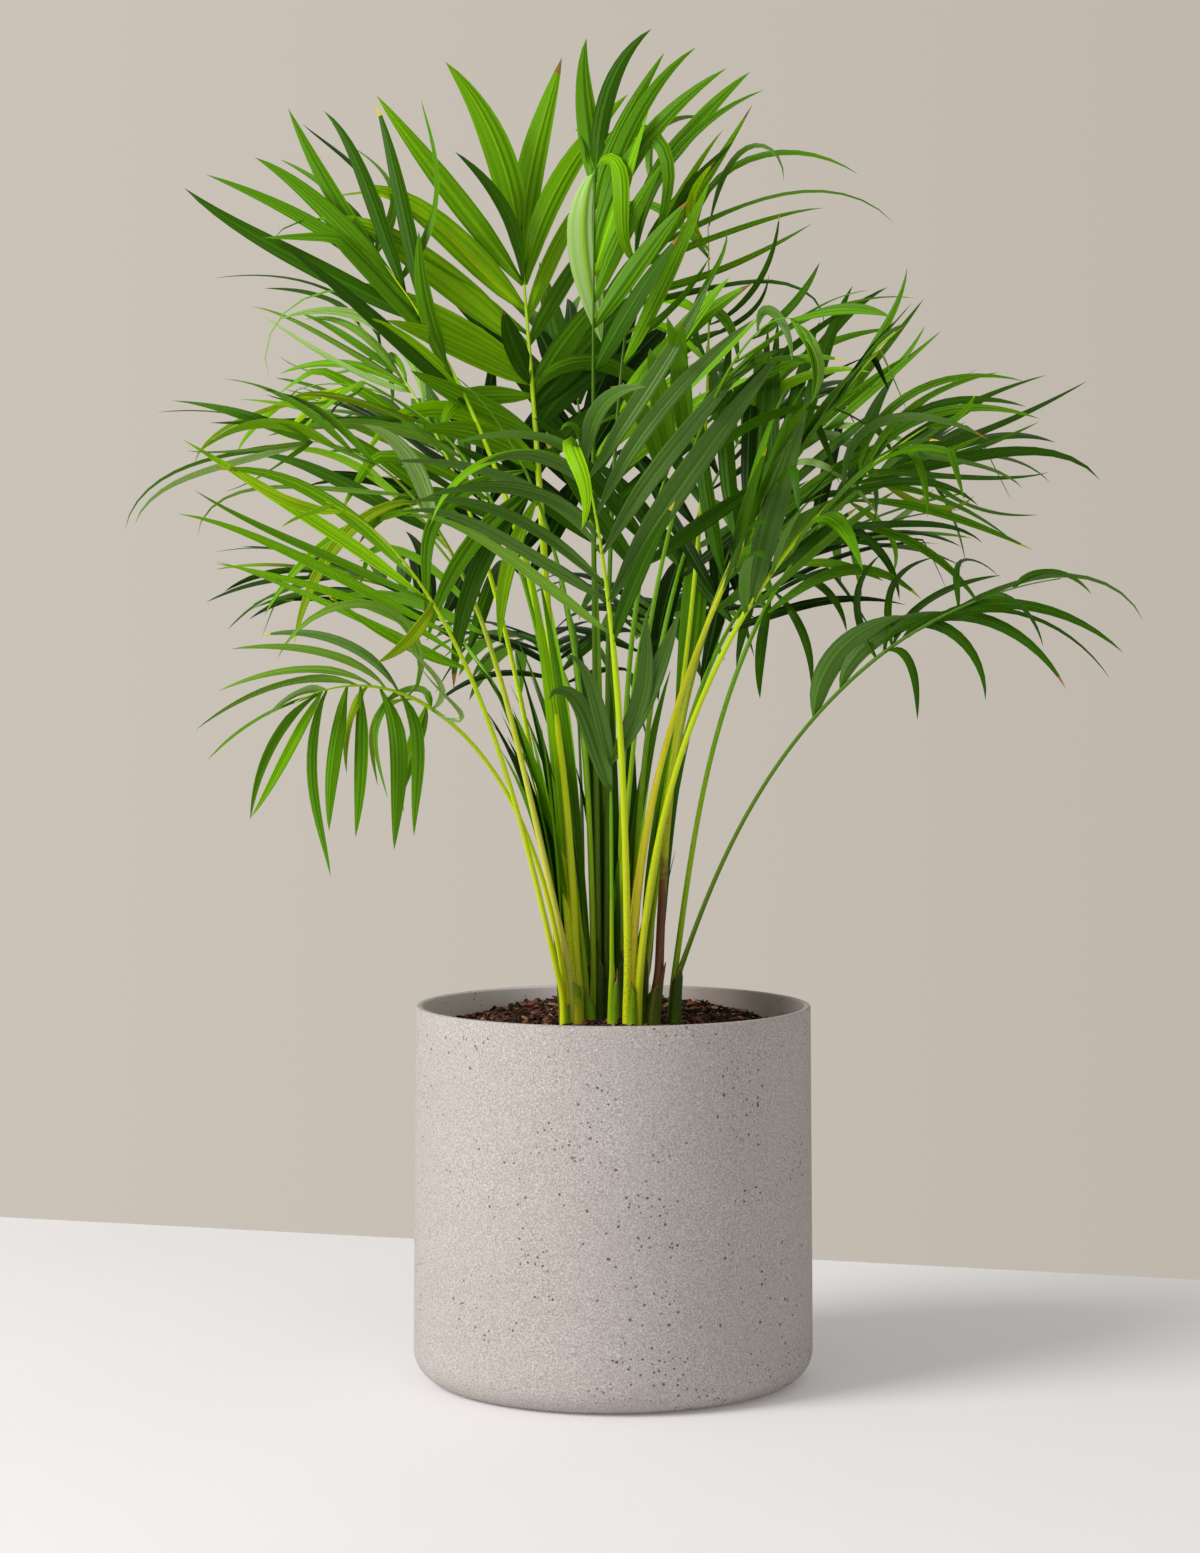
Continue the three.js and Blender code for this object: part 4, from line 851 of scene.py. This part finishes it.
def stalk_material(name, low, mid, high, speck, foot=0.16, turn=0.26):
    n = Nodes(name)
    along = n.attribute("along")
    fine = n.place((1, 1, 0.12))
    streak = n.noise(fine, 900, 3, 0.6)
    soft = n.noise(n.place(), 90, 2)
    x = n.maths("ADD", along, n.step(soft, 0.3, 0.7, -0.08, 0.08))
    colour = n.ramp(x, (0.0, low), (foot, low), (foot + turn, mid), (0.9, high))
    colour = n.mix(n.step(streak, 0.35, 0.75, 0.0, 0.2), colour, n.mix(1.0, colour, (0.55, 0.62, 0.4, 1), "MULTIPLY"))
    # dark scurf near the foot
    v = n.voronoi(n.place((1, 1, 0.55)), 1150)
    dots = n.step(v.outputs["Distance"], 0.16, 0.3, 1.0, 0.0)
    patch = n.noise(n.place(), 160, 2)
    dense = n.maths("MULTIPLY", n.attribute("speck"), speck)
    gate = n.step(n.maths("ADD", patch, dense), 0.86, 1.0)
    fac = n.maths("MULTIPLY", dots, gate)
    colour = n.mix(fac, colour, (0.012, 0.010, 0.008, 1))
    rough = n.step(fac, 0, 1, 0.36, 0.7)
    return n.done(colour, rough, n.bump(streak, 0.0003, 0.2), 0.22)


STALK = {
    "lime": stalk_material("stalk_lime", srgb(208, 220, 22), srgb(196, 224, 10), srgb(170, 210, 8), 0.6),
    "yellow": stalk_material("stalk_yellow", srgb(228, 214, 50), srgb(218, 216, 34), srgb(172, 202, 14), 0.7),
    "green": stalk_material("stalk_green", srgb(150, 186, 10), srgb(118, 174, 6), srgb(102, 158, 6), 0.35),
    "olive": stalk_material("stalk_olive", srgb(112, 70, 46), srgb(172, 178, 34), srgb(122, 164, 14), 0.9, 0.1, 0.12),
    "tan": stalk_material("stalk_tan", srgb(214, 208, 84), srgb(192, 206, 44), srgb(126, 170, 14), 0.5),
    # the dark stalk colours are painted shade among the leaflets
    "dark": stalk_material("stalk_painted_shade", srgb(92, 122, 12), srgb(84, 124, 8), srgb(76, 116, 6), 0.35),
}
SIDES = 14


def stalk(f, look):
    """Petiole and rachis as one tapering limb that rises out of the soil, channelled above and ridged between leaflets."""
    P, T, B, N = midrib(f)
    s = np.linspace(0, 1, len(P))
    # the foot runs down inside the sheaths to the soil
    foot, head = [np.array(v, float) for v in STEMS[f["stem"]][:2]]
    xy = foot + (P[0, :2] - head) * 0.75
    a0 = np.array([xy[0], xy[1], soil_height(*xy) - 3.0])
    span = P[0, 2] - a0[2]
    q = (np.arange(9) / 9)[:, None]
    low = (a0 * (1 - q) ** 3 + 3 * (a0 + [0, 0, span * 0.35]) * q * (1 - q) ** 2
           + 3 * (P[0] - T[0] * span * 0.35) * q ** 2 * (1 - q) + P[0] * q ** 3)
    n_low = len(low)
    P = np.vstack([low, P])
    T, B, N = [np.vstack([np.repeat(A[:1], n_low, 0), A]) for A in (T, B, N)]
    s = np.concatenate([-(1 - q[:, 0]) * span / f["length"], s])
    r0, r1 = look[2], look[3]
    r = np.interp(s, [-0.08, 0, f["bare"] * 0.5, f["bare"], 0.9, 1], [r0 * 1.35, r0 * 1.08, (r0 + 2 * r1) / 3, r1, r1 * 0.42, 0.35])
    a = np.arange(SIDES) / SIDES * 2 * math.pi
    mix = np.clip((s - f["bare"] + 0.06) / 0.1, 0, 1)[:, None]
    away = (a[None] - math.pi / 2 + math.pi) % (2 * math.pi) - math.pi
    channel = 1 - 0.26 * np.exp(-(away / 0.5) ** 2) * np.clip(s[:, None] / 0.05, 0, 1)
    ridge = 0.86 + 0.34 * np.exp(-(away / 0.4) ** 2)
    shape = channel * (1 - mix) + ridge * mix
    ring = (B[:, None] * np.cos(a)[None, :, None] + N[:, None] * np.sin(a)[None, :, None]) * (r[:, None] * shape)[:, :, None]
    V = (P[:, None] + ring).reshape(-1, 3)
    n = len(P)
    F = []
    for k in range(n - 1):
        for j in range(SIDES):
            q = (j + 1) % SIDES
            F.append((k * SIDES + j, k * SIDES + q, (k + 1) * SIDES + q, (k + 1) * SIDES + j))
    F.append(tuple(range(SIDES))[::-1])
    F.append(tuple((n - 1) * SIDES + j for j in range(SIDES)))
    along = np.repeat(s, SIDES)
    speck = np.exp(-np.maximum(along, 0) / 0.1) * look[4] + 0.1 * look[4]
    return V, F, {"along": np.clip(along, 0, 1), "speck": speck}


made = {}
for fi, f in enumerate(FRONDS):
    look = LOOKS.get(f["name"], OTHER_LOOK)
    short = f["name"].replace("frond_", "")
    V, F, K, C = [], [], [], []
    count = 0
    for verts, i, side, u, tint in leaflets(f, fi):
        V.append(verts)
        F += [tuple(v + count for v in q) for q in FACES]
        K.append(leaf_kinds(f, fi, look, i, side, u, tint))
        C.append(COL_OF)
        count += len(verts)
    leaves = piece("leaves_" + short, np.vstack(V), F, list(TINT.values()), np.concatenate(K),
                   sharp=sharp_lines(np.concatenate(C)))
    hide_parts(f["name"])
    V, F, attrs = stalk(f, look)
    limb = piece("stalk_" + short, V, F, [STALK[look[1]]], attrs=attrs)
    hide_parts(f["name"].replace("frond_", "petiole_") if f["end"] < 32 else f["name"])

# young leaves still folded, standing between the stalks, and thin fibres torn from the sheaths
V, F, K, C, count = [], [], [], [], 0
vv = np.linspace(0, 1, ROWS + 1)
for j in range(54):
    h = lambda k: hash01(900 + j, 3, k)
    tall = j >= 22
    outer = j >= 38
    stem = list(STEMS)[j % 13] if not tall else (2, 13, 3, 1, 4, 2, 8, 13, 3, 11, 1, 6, 2, 9, 13, 3, 1, 2, 3, 1, 4, 2, 13, 12, 1, 2, 2, 8, 1, 12, 2, 4)[j - 22]
    foot, head = [np.array(v, float) for v in STEMS[stem][:2]]
    start = np.array([head[0] + 5 * (h(1) - 0.5), head[1] + 4 + (10 if outer else 5) * h(2), 246 + 14 * h(3)])
    length = 150 + 120 * h(4) if tall else 60 + 110 * h(4) if j % 3 else 50 + 50 * h(4)
    heading = math.degrees(math.atan2(head[1] + 6, head[0] + 2)) + 60 * (h(5) - 0.5)
    m = 2 * ROWS
    v = (np.arange(m) + 0.5) / m
    e = np.radians(87 - (8 + (34 if outer else 26 if tall else 16) * h(6)) * v ** 1.5)
    a = np.radians(heading + 10 * v)
    d = np.stack([np.cos(e) * np.cos(a), np.cos(e) * np.sin(a), np.sin(e)], 1)
    line = np.vstack([[0, 0, 0], np.cumsum(d, 0) * length / m])[::2] + start
    w = carried(line, np.array([math.cos(h(7) * 6.3), math.sin(h(7) * 6.3), 0.0]))
    width = 5 + 5 * h(8) if tall else 3.5 + 6.5 * h(8) if j % 3 else 1.6 + h(8)
    V.append(lay_blade(line, w, width / 2, np.radians(50) * (h(9) - 0.5) * vv))
    F += [tuple(x + count for x in q) for q in FACES]
    main = (("deep", "fresh", "mid", "deep", "dark") if outer else ("mid", "fresh", "fresh", "deep", "bright") if tall else ("deep", "mid", "dark", "deep", "fresh"))[int(h(10) * 5)]
    k = np.full(len(FACES), TINTS.index(main))
    k[INFO[:, 0] % 2 == 1] = TINTS.index(main + "2")
    K.append(k)
    C.append(COL_OF)
    count += COUNT
spears = piece("young_leaves", np.vstack(V), F, list(TINT.values()), np.concatenate(K), sharp=sharp_lines(np.concatenate(C)))
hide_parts("stem_6")

# ---------------------------------------------------------------- stems: rolled leaf sheaths

def sheath_material(name, low, mid, high, speck):
    n = Nodes(name)
    fine = n.place((1, 1, 0.08))
    streak = n.noise(fine, 900, 3, 0.6)
    soft = n.noise(n.place(), 60, 2)
    x = n.attribute("along")
    colour = n.ramp(n.maths("ADD", x, n.step(soft, 0.3, 0.7, -0.25, 0.25)), (0.0, low), (0.5, mid), (1.0, high))
    colour = n.mix(n.step(streak, 0.35, 0.75, 0.0, 0.45), colour, n.mix(1.0, colour, (0.5, 0.55, 0.35, 1), "MULTIPLY"))
    v = n.voronoi(n.place((1, 1, 0.6)), 1100)
    dots = n.step(v.outputs["Distance"], 0.2, 0.34, 1.0, 0.0)
    gate = n.step(n.maths("ADD", n.noise(n.place(), 130, 2), speck * 0.3), 0.55, 0.7)
    colour = n.mix(n.maths("MULTIPLY", dots, n.maths("MULTIPLY", gate, 0.85)), colour, (0.016, 0.012, 0.008, 1))
    lip = n.attribute("lip")
    colour = n.mix(n.step(lip, 0.1, 0.75), colour, n.mix(n.step(soft, 0.4, 0.6), srgb(112, 52, 38), srgb(168, 134, 96)))
    return n.done(colour, n.step(lip, 0, 1, 0.4, 0.75), n.bump(streak, 0.0006, 0.4), 0.22)


SHEATH = {
    "green": sheath_material("sheath_green", srgb(144, 178, 18), srgb(128, 170, 12), srgb(118, 162, 16), 0.25),
    "warm": sheath_material("sheath_warm", srgb(198, 192, 36), srgb(158, 186, 20), srgb(126, 168, 18), 0.2),
    "olive": sheath_material("sheath_olive", srgb(96, 104, 34), srgb(86, 104, 26), srgb(96, 92, 44), 0.8),
    "dark": sheath_material("sheath_dark", srgb(78, 104, 18), srgb(62, 94, 12), srgb(70, 90, 20), 0.9),
}
# stem: its sheaths as centre x, y, radius, height of the lip, rise of its point, the side of the point (degrees), kind
SHEATHS = {
    1: ((-29.6, -12.5, 2.5, 246, 8, 150, "green"),),
    2: ((-23.6, -6.5, 5.2, 258, 12, 165, "warm"), (-30.4, -4.5, 3.6, 268, 13, 250, "olive")),
    3: ((-14.6, -1, 3.6, 240, 9, 240, "green"),),
    4: ((-8.4, 6, 3.2, 266, 13, 200, "dark"), (-2.8, 11, 3.6, 262, 6, 60, "olive")),
    5: ((-0.4, -16.5, 2.7, 256, 6, 20, "green"),),
    6: ((3.8, 4, 3.6, 262, 9, 300, "dark"),),
    7: ((11.6, -17.5, 4.5, 250, 9, 230, "green"), (17.6, -11, 3.3, 262, 10, 330, "dark")),
    8: ((17.5, 12, 4.4, 258, 8, 40, "dark"),),
    9: ((24.4, -11, 5.0, 252, 14, 335, "olive"),),
    10: ((38.8, -4, 3.9, 256, 7, 290, "dark"),),
    11: ((-4, 23, 5.2, 258, 8, 120, "olive"),),
    12: ((9, 24, 4.8, 258, 8, 20, "green"),),
    13: ((-17, 15, 4.6, 264, 12, 210, "olive"),),
}
for k, (foot, head, radius, top, flat) in STEMS.items():
    foot, head = np.array(foot, float), np.array(head, float)
    V, F, along, lip = [], [], [], []
    kinds = []
    for number, (cx, cy, r_, lipz, point, side, kind) in enumerate(SHEATHS[k]):
        sides, rows = 30, 16
        base_v = len(V)
        face = math.radians(side)
        a = np.arange(sides) / sides * 2 * math.pi
        gap = (a - face + math.pi) % (2 * math.pi) - math.pi
        # the lip: one slender point, low on the far side, its edge a little ragged
        edge = lipz + point * np.exp(-(gap / 0.5) ** 2) - 9 * (0.5 - 0.5 * np.cos(gap)) ** 1.4
        edge = edge + np.array([1.1 * (hash01(k, number, j, 5) - 0.5) for j in range(sides)])
        z0 = soil_height(cx, cy) - 2.5
        lean = (head - foot) * 0.9
        for inner in (0, 1):
            for r in range(rows + 1):
                v = r / rows
                if inner:
                    v = 1 - v * 0.5
                z = z0 + (edge - z0) * v
                t = np.clip((z - z0) / 40.0, 0, 1.2)
                x = cx + lean[0] * t ** 1.4
                y = cy + lean[1] * t ** 1.4
                rr = r_ * (1 + 0.16 * (1 - t) ** 2) * (1 - 0.16 * t) * (1 + 0.03 * np.cos(5 * a + k) + 0.015 * np.cos(11 * a + 2 * k))
                # one margin of the sheath laps over the other down its front
                rr = rr + 0.5 * np.clip(1 - np.abs(gap + 1.2) / 0.5, 0, 1) * np.clip(v * 2, 0, 1)
                rr = rr - (0.6 if inner else 0)
                for j in range(sides):
                    V.append((x[j] + rr[j] * math.cos(a[j]), y[j] + rr[j] * math.sin(a[j]), z[j]))
                    along.append(v)
                    lip.append(max(0.0, 1 - (edge[j] - z[j]) / (1.2 + 2.2 * max(0, 1 - abs(gap[j]) / 0.9))))
        total = 2 * (rows + 1)
        for r in range(total - 1):
            for j in range(sides):
                q = (j + 1) % sides
                F.append((base_v + r * sides + j, base_v + r * sides + q, base_v + (r + 1) * sides + q, base_v + (r + 1) * sides + j))
                kinds.append(list(SHEATH).index(kind))
        F.append(tuple(base_v + j for j in range(sides))[::-1])
        F.append(tuple(base_v + (total - 1) * sides + j for j in range(sides)))
        kinds += [list(SHEATH).index(kind)] * 2
    ob = piece("sheath_%d" % k, V, F, list(SHEATH.values()), kinds, attrs={"along": along, "lip": lip})
    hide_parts("stem_%d" % k)

# ---------------------------------------------------------------- planter

def pot_material():
    n = Nodes("pot_concrete")
    here = n.place()
    grain = n.noise(here, 1400, 2, 0.7)
    sand = n.noise(here, 920, 2, 0.6)
    cloud = n.noise(here, 14, 4, 0.55)
    colour = n.ramp(sand, (0.3, srgb(126, 117, 111)), (0.5, srgb(176, 169, 165)), (0.7, srgb(222, 217, 214)))
    colour = n.mix(0.45, colour, n.ramp(grain, (0.3, srgb(140, 132, 126)), (0.5, srgb(177, 170, 166)), (0.72, srgb(212, 207, 204))))
    colour = n.mix(n.step(cloud, 0.35, 0.7, 0, 0.22), colour, srgb(163, 155, 149))
    # the inside wall is painted paler on the left as painted light and darker brown on the right as painted shade; the
    # foot is neither
    across = n.node("ShaderNodeVectorMath", operation="LENGTH")
    n.put(across.inputs[0], n.place((1, 1, 0)))
    inside = n.step(across.outputs["Value"], 0.1212, 0.1218, 0.9, 0)
    above = n.node("ShaderNodeVectorMath", operation="LENGTH")
    n.put(above.inputs[0], n.place((0, 0, 1)))
    inside = n.maths("MULTIPLY", inside, n.step(above.outputs["Value"], 0.1, 0.102))
    split = n.node("ShaderNodeSeparateXYZ")
    n.put(split.inputs[0], here)
    colour = n.mix(inside, colour, n.mix(n.step(split.outputs[0], -0.03, 0.06), srgb(244, 234, 238), srgb(150, 138, 130)))
    # pits in loose clusters, with a few wider ones between them
    pit = None
    for scale, low, high, cluster, first, full in ((235, 0.11, 0.23, 24, 0.52, 0.58), (140, 0.06, 0.16, 13, 0.46, 0.53)):
        v = n.voronoi(here, scale)
        size = n.step(n.noise(here, 2 * scale, 1), 0.35, 0.7, low, high)
        holes = n.step(n.maths("SUBTRACT", v.outputs["Distance"], size), -0.02, 0.03, 1, 0)
        holes = n.maths("MULTIPLY", holes, n.step(n.noise(here, cluster, 2, 0.6), first, full))
        pit = holes if pit is None else n.maths("MAXIMUM", pit, holes)
    # the pits are darkened as painted shade in their hollows
    colour = n.mix(n.maths("MULTIPLY", pit, 0.85), colour, srgb(84, 72, 66))
    height = n.maths("SUBTRACT", n.maths("MULTIPLY", sand, 0.35), pit)
    return n.done(colour, n.step(sand, 0.3, 0.7, 0.95, 0.85), n.bump(height, 0.0006, 0.6), 0.25)


profile = [(0.0, 0.0)]
for i in range(9):
    a = i / 8 * math.pi / 2
    profile.append((POT_FOOT_RADIUS - POT_EDGE_ROUND + POT_EDGE_ROUND * math.sin(a), POT_EDGE_ROUND - POT_EDGE_ROUND * math.cos(a)))
for i in range(1, 24):
    z = POT_EDGE_ROUND + (POT_HEIGHT - 1.3 - POT_EDGE_ROUND) * i / 24
    profile.append((POT_FOOT_RADIUS + (POT_RIM_RADIUS - POT_FOOT_RADIUS) * (z - POT_EDGE_ROUND) / (POT_HEIGHT - POT_EDGE_ROUND), z))
for i in range(5):
    a = i / 4 * math.pi / 2
    profile.append((POT_RIM_RADIUS - 1.3 + 1.3 * math.cos(a), POT_HEIGHT - 1.3 + 1.3 * math.sin(a)))
for i in range(5):
    a = i / 4 * math.pi / 2
    profile.append((POT_RIM_RADIUS - POT_WALL + 1.3 - 1.3 * math.sin(a), POT_HEIGHT - 1.3 + 1.3 * math.cos(a)))
for i in range(1, 8):
    profile.append((POT_RIM_RADIUS - POT_WALL - 0.9 * i / 7, POT_HEIGHT - 1.3 - 60 * i / 7))
profile.append((POT_RIM_RADIUS - POT_WALL - 3, 30))
profile.append((100, 14))
profile.append((0.0, 12.0))
sides = 192
V = [(0, 0, profile[0][1])]
rings = profile[1:-1]
for i, (r, z) in enumerate(rings):
    for j in range(sides):
        a = j / sides * 2 * math.pi
        V.append((r * math.cos(a), r * math.sin(a), z))
V.append((0, 0, profile[-1][1]))
F = [(0, 1 + (j + 1) % sides, 1 + j) for j in range(sides)]
for i in range(len(rings) - 1):
    for j in range(sides):
        q = (j + 1) % sides
        F.append((1 + i * sides + j, 1 + i * sides + q, 1 + (i + 1) * sides + q, 1 + (i + 1) * sides + j))
last = 1 + (len(rings) - 1) * sides
F += [(last + j, last + (j + 1) % sides, len(V) - 1) for j in range(sides)]
pot = piece("planter", V, F, [pot_material()])
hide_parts("pot")

# ---------------------------------------------------------------- potting mix

def soil_material():
    n = Nodes("soil_mix")
    here = n.place()
    a = n.noise(here, 420, 4, 0.7)
    b = n.noise(here, 120, 3, 0.6)
    colour = n.ramp(a, (0.3, srgb(30, 17, 12)), (0.5, srgb(66, 40, 28)), (0.7, srgb(112, 74, 52)))
    colour = n.mix(n.step(b, 0.4, 0.7, 0, 0.5), colour, srgb(40, 24, 18))
    return n.done(colour, 0.95, n.bump(a, 0.002, 0.8), 0.2)


wall_at = POT_RIM_RADIUS - POT_WALL - 0.6
V, F = [], []
NR, NA = 44, 144
for i in range(NR + 1):
    r = wall_at * (i / NR)
    for j in range(NA):
        a = j / NA * 2 * math.pi
        x, y = r * math.cos(a), r * math.sin(a)
        h = hash01(i, j, 91) - 0.5
        V.append((x, y, soil_height(x, y) - 1.0 + 1.7 * h + 0.9 * math.sin(x * 0.21 + 1) * math.cos(y * 0.17)))
for i in range(NR):
    for j in range(NA):
        q = (j + 1) % NA
        F.append((i * NA + j, i * NA + q, (i + 1) * NA + q, (i + 1) * NA + j))
base = len(V)
for j in range(NA):
    a = j / NA * 2 * math.pi
    V.append((wall_at * math.cos(a) * 0.985, wall_at * math.sin(a) * 0.985, 190.0))
for j in range(NA):
    q = (j + 1) % NA
    F.append((NR * NA + j, NR * NA + q, base + q, base + j))
F.append(tuple(base + j for j in range(NA))[::-1])
soil = piece("soil_bed", V, F, [soil_material()])
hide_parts("soil")

# chips of bark and coir, plain colours dealt out by chip
CHIP = [plain("chip_dark", srgb(34, 20, 14), 0.9, 0.2), plain("chip_brown", srgb(70, 42, 28), 0.85, 0.25),
        plain("chip_red", srgb(112, 66, 44), 0.8, 0.25), plain("chip_tan", srgb(158, 116, 82), 0.85, 0.25),
        plain("chip_black", srgb(18, 12, 10), 0.9, 0.2)]
rng = np.random.default_rng(11)
V, F, K = [], [], []
for c in range(5200):
    r = (wall_at - 3) * math.sqrt(rng.random())
    a = rng.random() * 2 * math.pi
    x, y = r * math.cos(a), r * math.sin(a)
    long, wide, thick = rng.uniform(2.5, 7.5), rng.uniform(0.7, 2.4), rng.uniform(0.35, 1.1)
    if rng.random() < 0.12:
        long, wide = rng.uniform(7, 13), rng.uniform(2, 4)
    z = soil_height(x, y) + rng.uniform(-0.6, 1.4)
    yaw, pitch, roll = rng.uniform(0, 6.283), rng.normal(0, 0.35), rng.normal(0, 0.5)
    cy, sy, cp, sp_, cr, sr = math.cos(yaw), math.sin(yaw), math.cos(pitch), math.sin(pitch), math.cos(roll), math.sin(roll)
    R = np.array([[cy, -sy, 0], [sy, cy, 0], [0, 0, 1]]) @ np.array([[cp, 0, sp_], [0, 1, 0], [-sp_, 0, cp]]) @ np.array([[1, 0, 0], [0, cr, -sr], [0, sr, cr]])
    b0 = len(V)
    for sx, w in ((-1, 0.45), (-0.35, 1.0), (0.4, 0.9), (1, 0.35)):
        jit = rng.uniform(-0.12, 0.12, 4)
        bend = (1 - sx * sx) * thick * 0.6
        for q, (yy, zz) in enumerate(((-1, -1), (1, -1), (1, 1), (-1, 1))):
            loc = np.array([sx * long / 2 + jit[0] * wide, yy * wide / 2 * w * (1 + jit[1 + q % 3]), zz * thick / 2 * (0.6 + 0.4 * w) + bend])
            V.append(tuple(R @ loc + np.array([x, y, z])))
    for e in range(3):
        for q in range(4):
            s2 = (q + 1) % 4
            F.append((b0 + e * 4 + q, b0 + e * 4 + s2, b0 + (e + 1) * 4 + s2, b0 + (e + 1) * 4 + q))
    F.append((b0 + 3, b0 + 2, b0 + 1, b0))
    F.append((b0 + 12, b0 + 13, b0 + 14, b0 + 15))
    K += [int(rng.choice(5, p=[0.3, 0.32, 0.18, 0.08, 0.12]))] * 14
chips = piece("soil_chips", V, F, CHIP, K, smooth=False)
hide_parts("soil")

# ---------------------------------------------------------------- stage, light and camera

def stage_floor():
    me = bpy.data.meshes.new("floor")
    # the table's far edge runs as the photograph shows it
    a, b = np.array([-0.494, 0.598]), np.array([0.430, 0.325])
    d = (b - a) / np.linalg.norm(b - a)
    lo, hi = a - 5 * d, b + 5 * d
    me.from_pydata([(lo[0], lo[1], 0), (-6, -6, 0), (6, -6, 0), (hi[0], hi[1], 0)], [], [(0, 1, 2, 3)])
    n = Nodes("floor_pale")
    tone = n.noise(n.place(), 3, 2)
    n.done(n.ramp(tone, (0.3, srgb(231, 229, 230)), (0.7, srgb(234, 232, 233))), 0.7, None, 0.2)
    n.p.inputs["Emission Color"].default_value = (1, 0.985, 0.965, 1)
    n.p.inputs["Emission Strength"].default_value = 0.095
    me.materials.append(n.m)
    ob = bpy.data.objects.new("floor", me)
    bpy.context.scene.collection.objects.link(ob)


stage_floor()

world = bpy.data.worlds.new("studio")
bpy.context.scene.world = world
world.use_nodes = True
nt = world.node_tree
for x in list(nt.nodes):
    nt.nodes.remove(x)
out = nt.nodes.new("ShaderNodeOutputWorld")
mix = nt.nodes.new("ShaderNodeMixShader")
lp = nt.nodes.new("ShaderNodeLightPath")
light = nt.nodes.new("ShaderNodeBackground")
light.inputs[0].default_value = (1.0, 0.975, 0.945, 1)
light.inputs[1].default_value = WORLD_LIGHT
# the backdrop the camera sees runs from lighter on the left to darker on the right, as painted shade of the light
# falling off across it
wall = nt.nodes.new("ShaderNodeBackground")
geo = nt.nodes.new("ShaderNodeTexCoord")
sep = nt.nodes.new("ShaderNodeSeparateXYZ")
ramp = nt.nodes.new("ShaderNodeValToRGB")
rng_ = nt.nodes.new("ShaderNodeMapRange")
nt.links.new(geo.outputs["Generated"], sep.inputs[0])
nt.links.new(sep.outputs["X"], rng_.inputs["Value"])
rng_.inputs["From Min"].default_value = -0.18
rng_.inputs["From Max"].default_value = 0.18
nt.links.new(rng_.outputs["Result"], ramp.inputs["Fac"])
ramp.color_ramp.elements[0].color = srgb(204, 196, 185)
ramp.color_ramp.elements[1].color = srgb(191, 183, 172)
nt.links.new(ramp.outputs["Color"], wall.inputs[0])
nt.links.new(lp.outputs["Is Camera Ray"], mix.inputs[0])
nt.links.new(light.outputs[0], mix.inputs[1])
nt.links.new(wall.outputs[0], mix.inputs[2])
nt.links.new(mix.outputs[0], out.inputs["Surface"])


def area(name, place, target, size, watts, colour=(1, 1, 1)):
    l = bpy.data.lights.new(name, "AREA")
    l.shape = "DISK"
    l.size = size
    l.energy = watts
    l.color = colour
    ob = bpy.data.objects.new(name, l)
    ob.location = place
    ob.rotation_euler = (Vector(target) - Vector(place)).to_track_quat("-Z", "Y").to_euler()
    bpy.context.scene.collection.objects.link(ob)
    return ob


area("key", (-3.0, -1.75, 2.25), (0, 0, 0.35), 2.1, KEY_WATTS, (1.0, 0.99, 0.98))
area("front_fill", (0.6, -3.0, 1.2), (0, 0, 0.45), 1.6, FILL_WATTS)

cam = bpy.data.cameras.new("camera")
cam.sensor_fit = "AUTO"
cam.sensor_width = 36
cam.lens = 36 * 3480.7 / 1553
cam.clip_start, cam.clip_end = 0.05, 60
camera = bpy.data.objects.new("camera", cam)
camera.location = (-0.0084, -2.2, 0.47474)
camera.rotation_euler = (math.pi / 2 - 0.0422, 0, 0)
bpy.context.scene.collection.objects.link(camera)
scene = bpy.context.scene
scene.camera = camera
scene.view_settings.view_transform = "Standard"
scene.view_settings.look = "None"
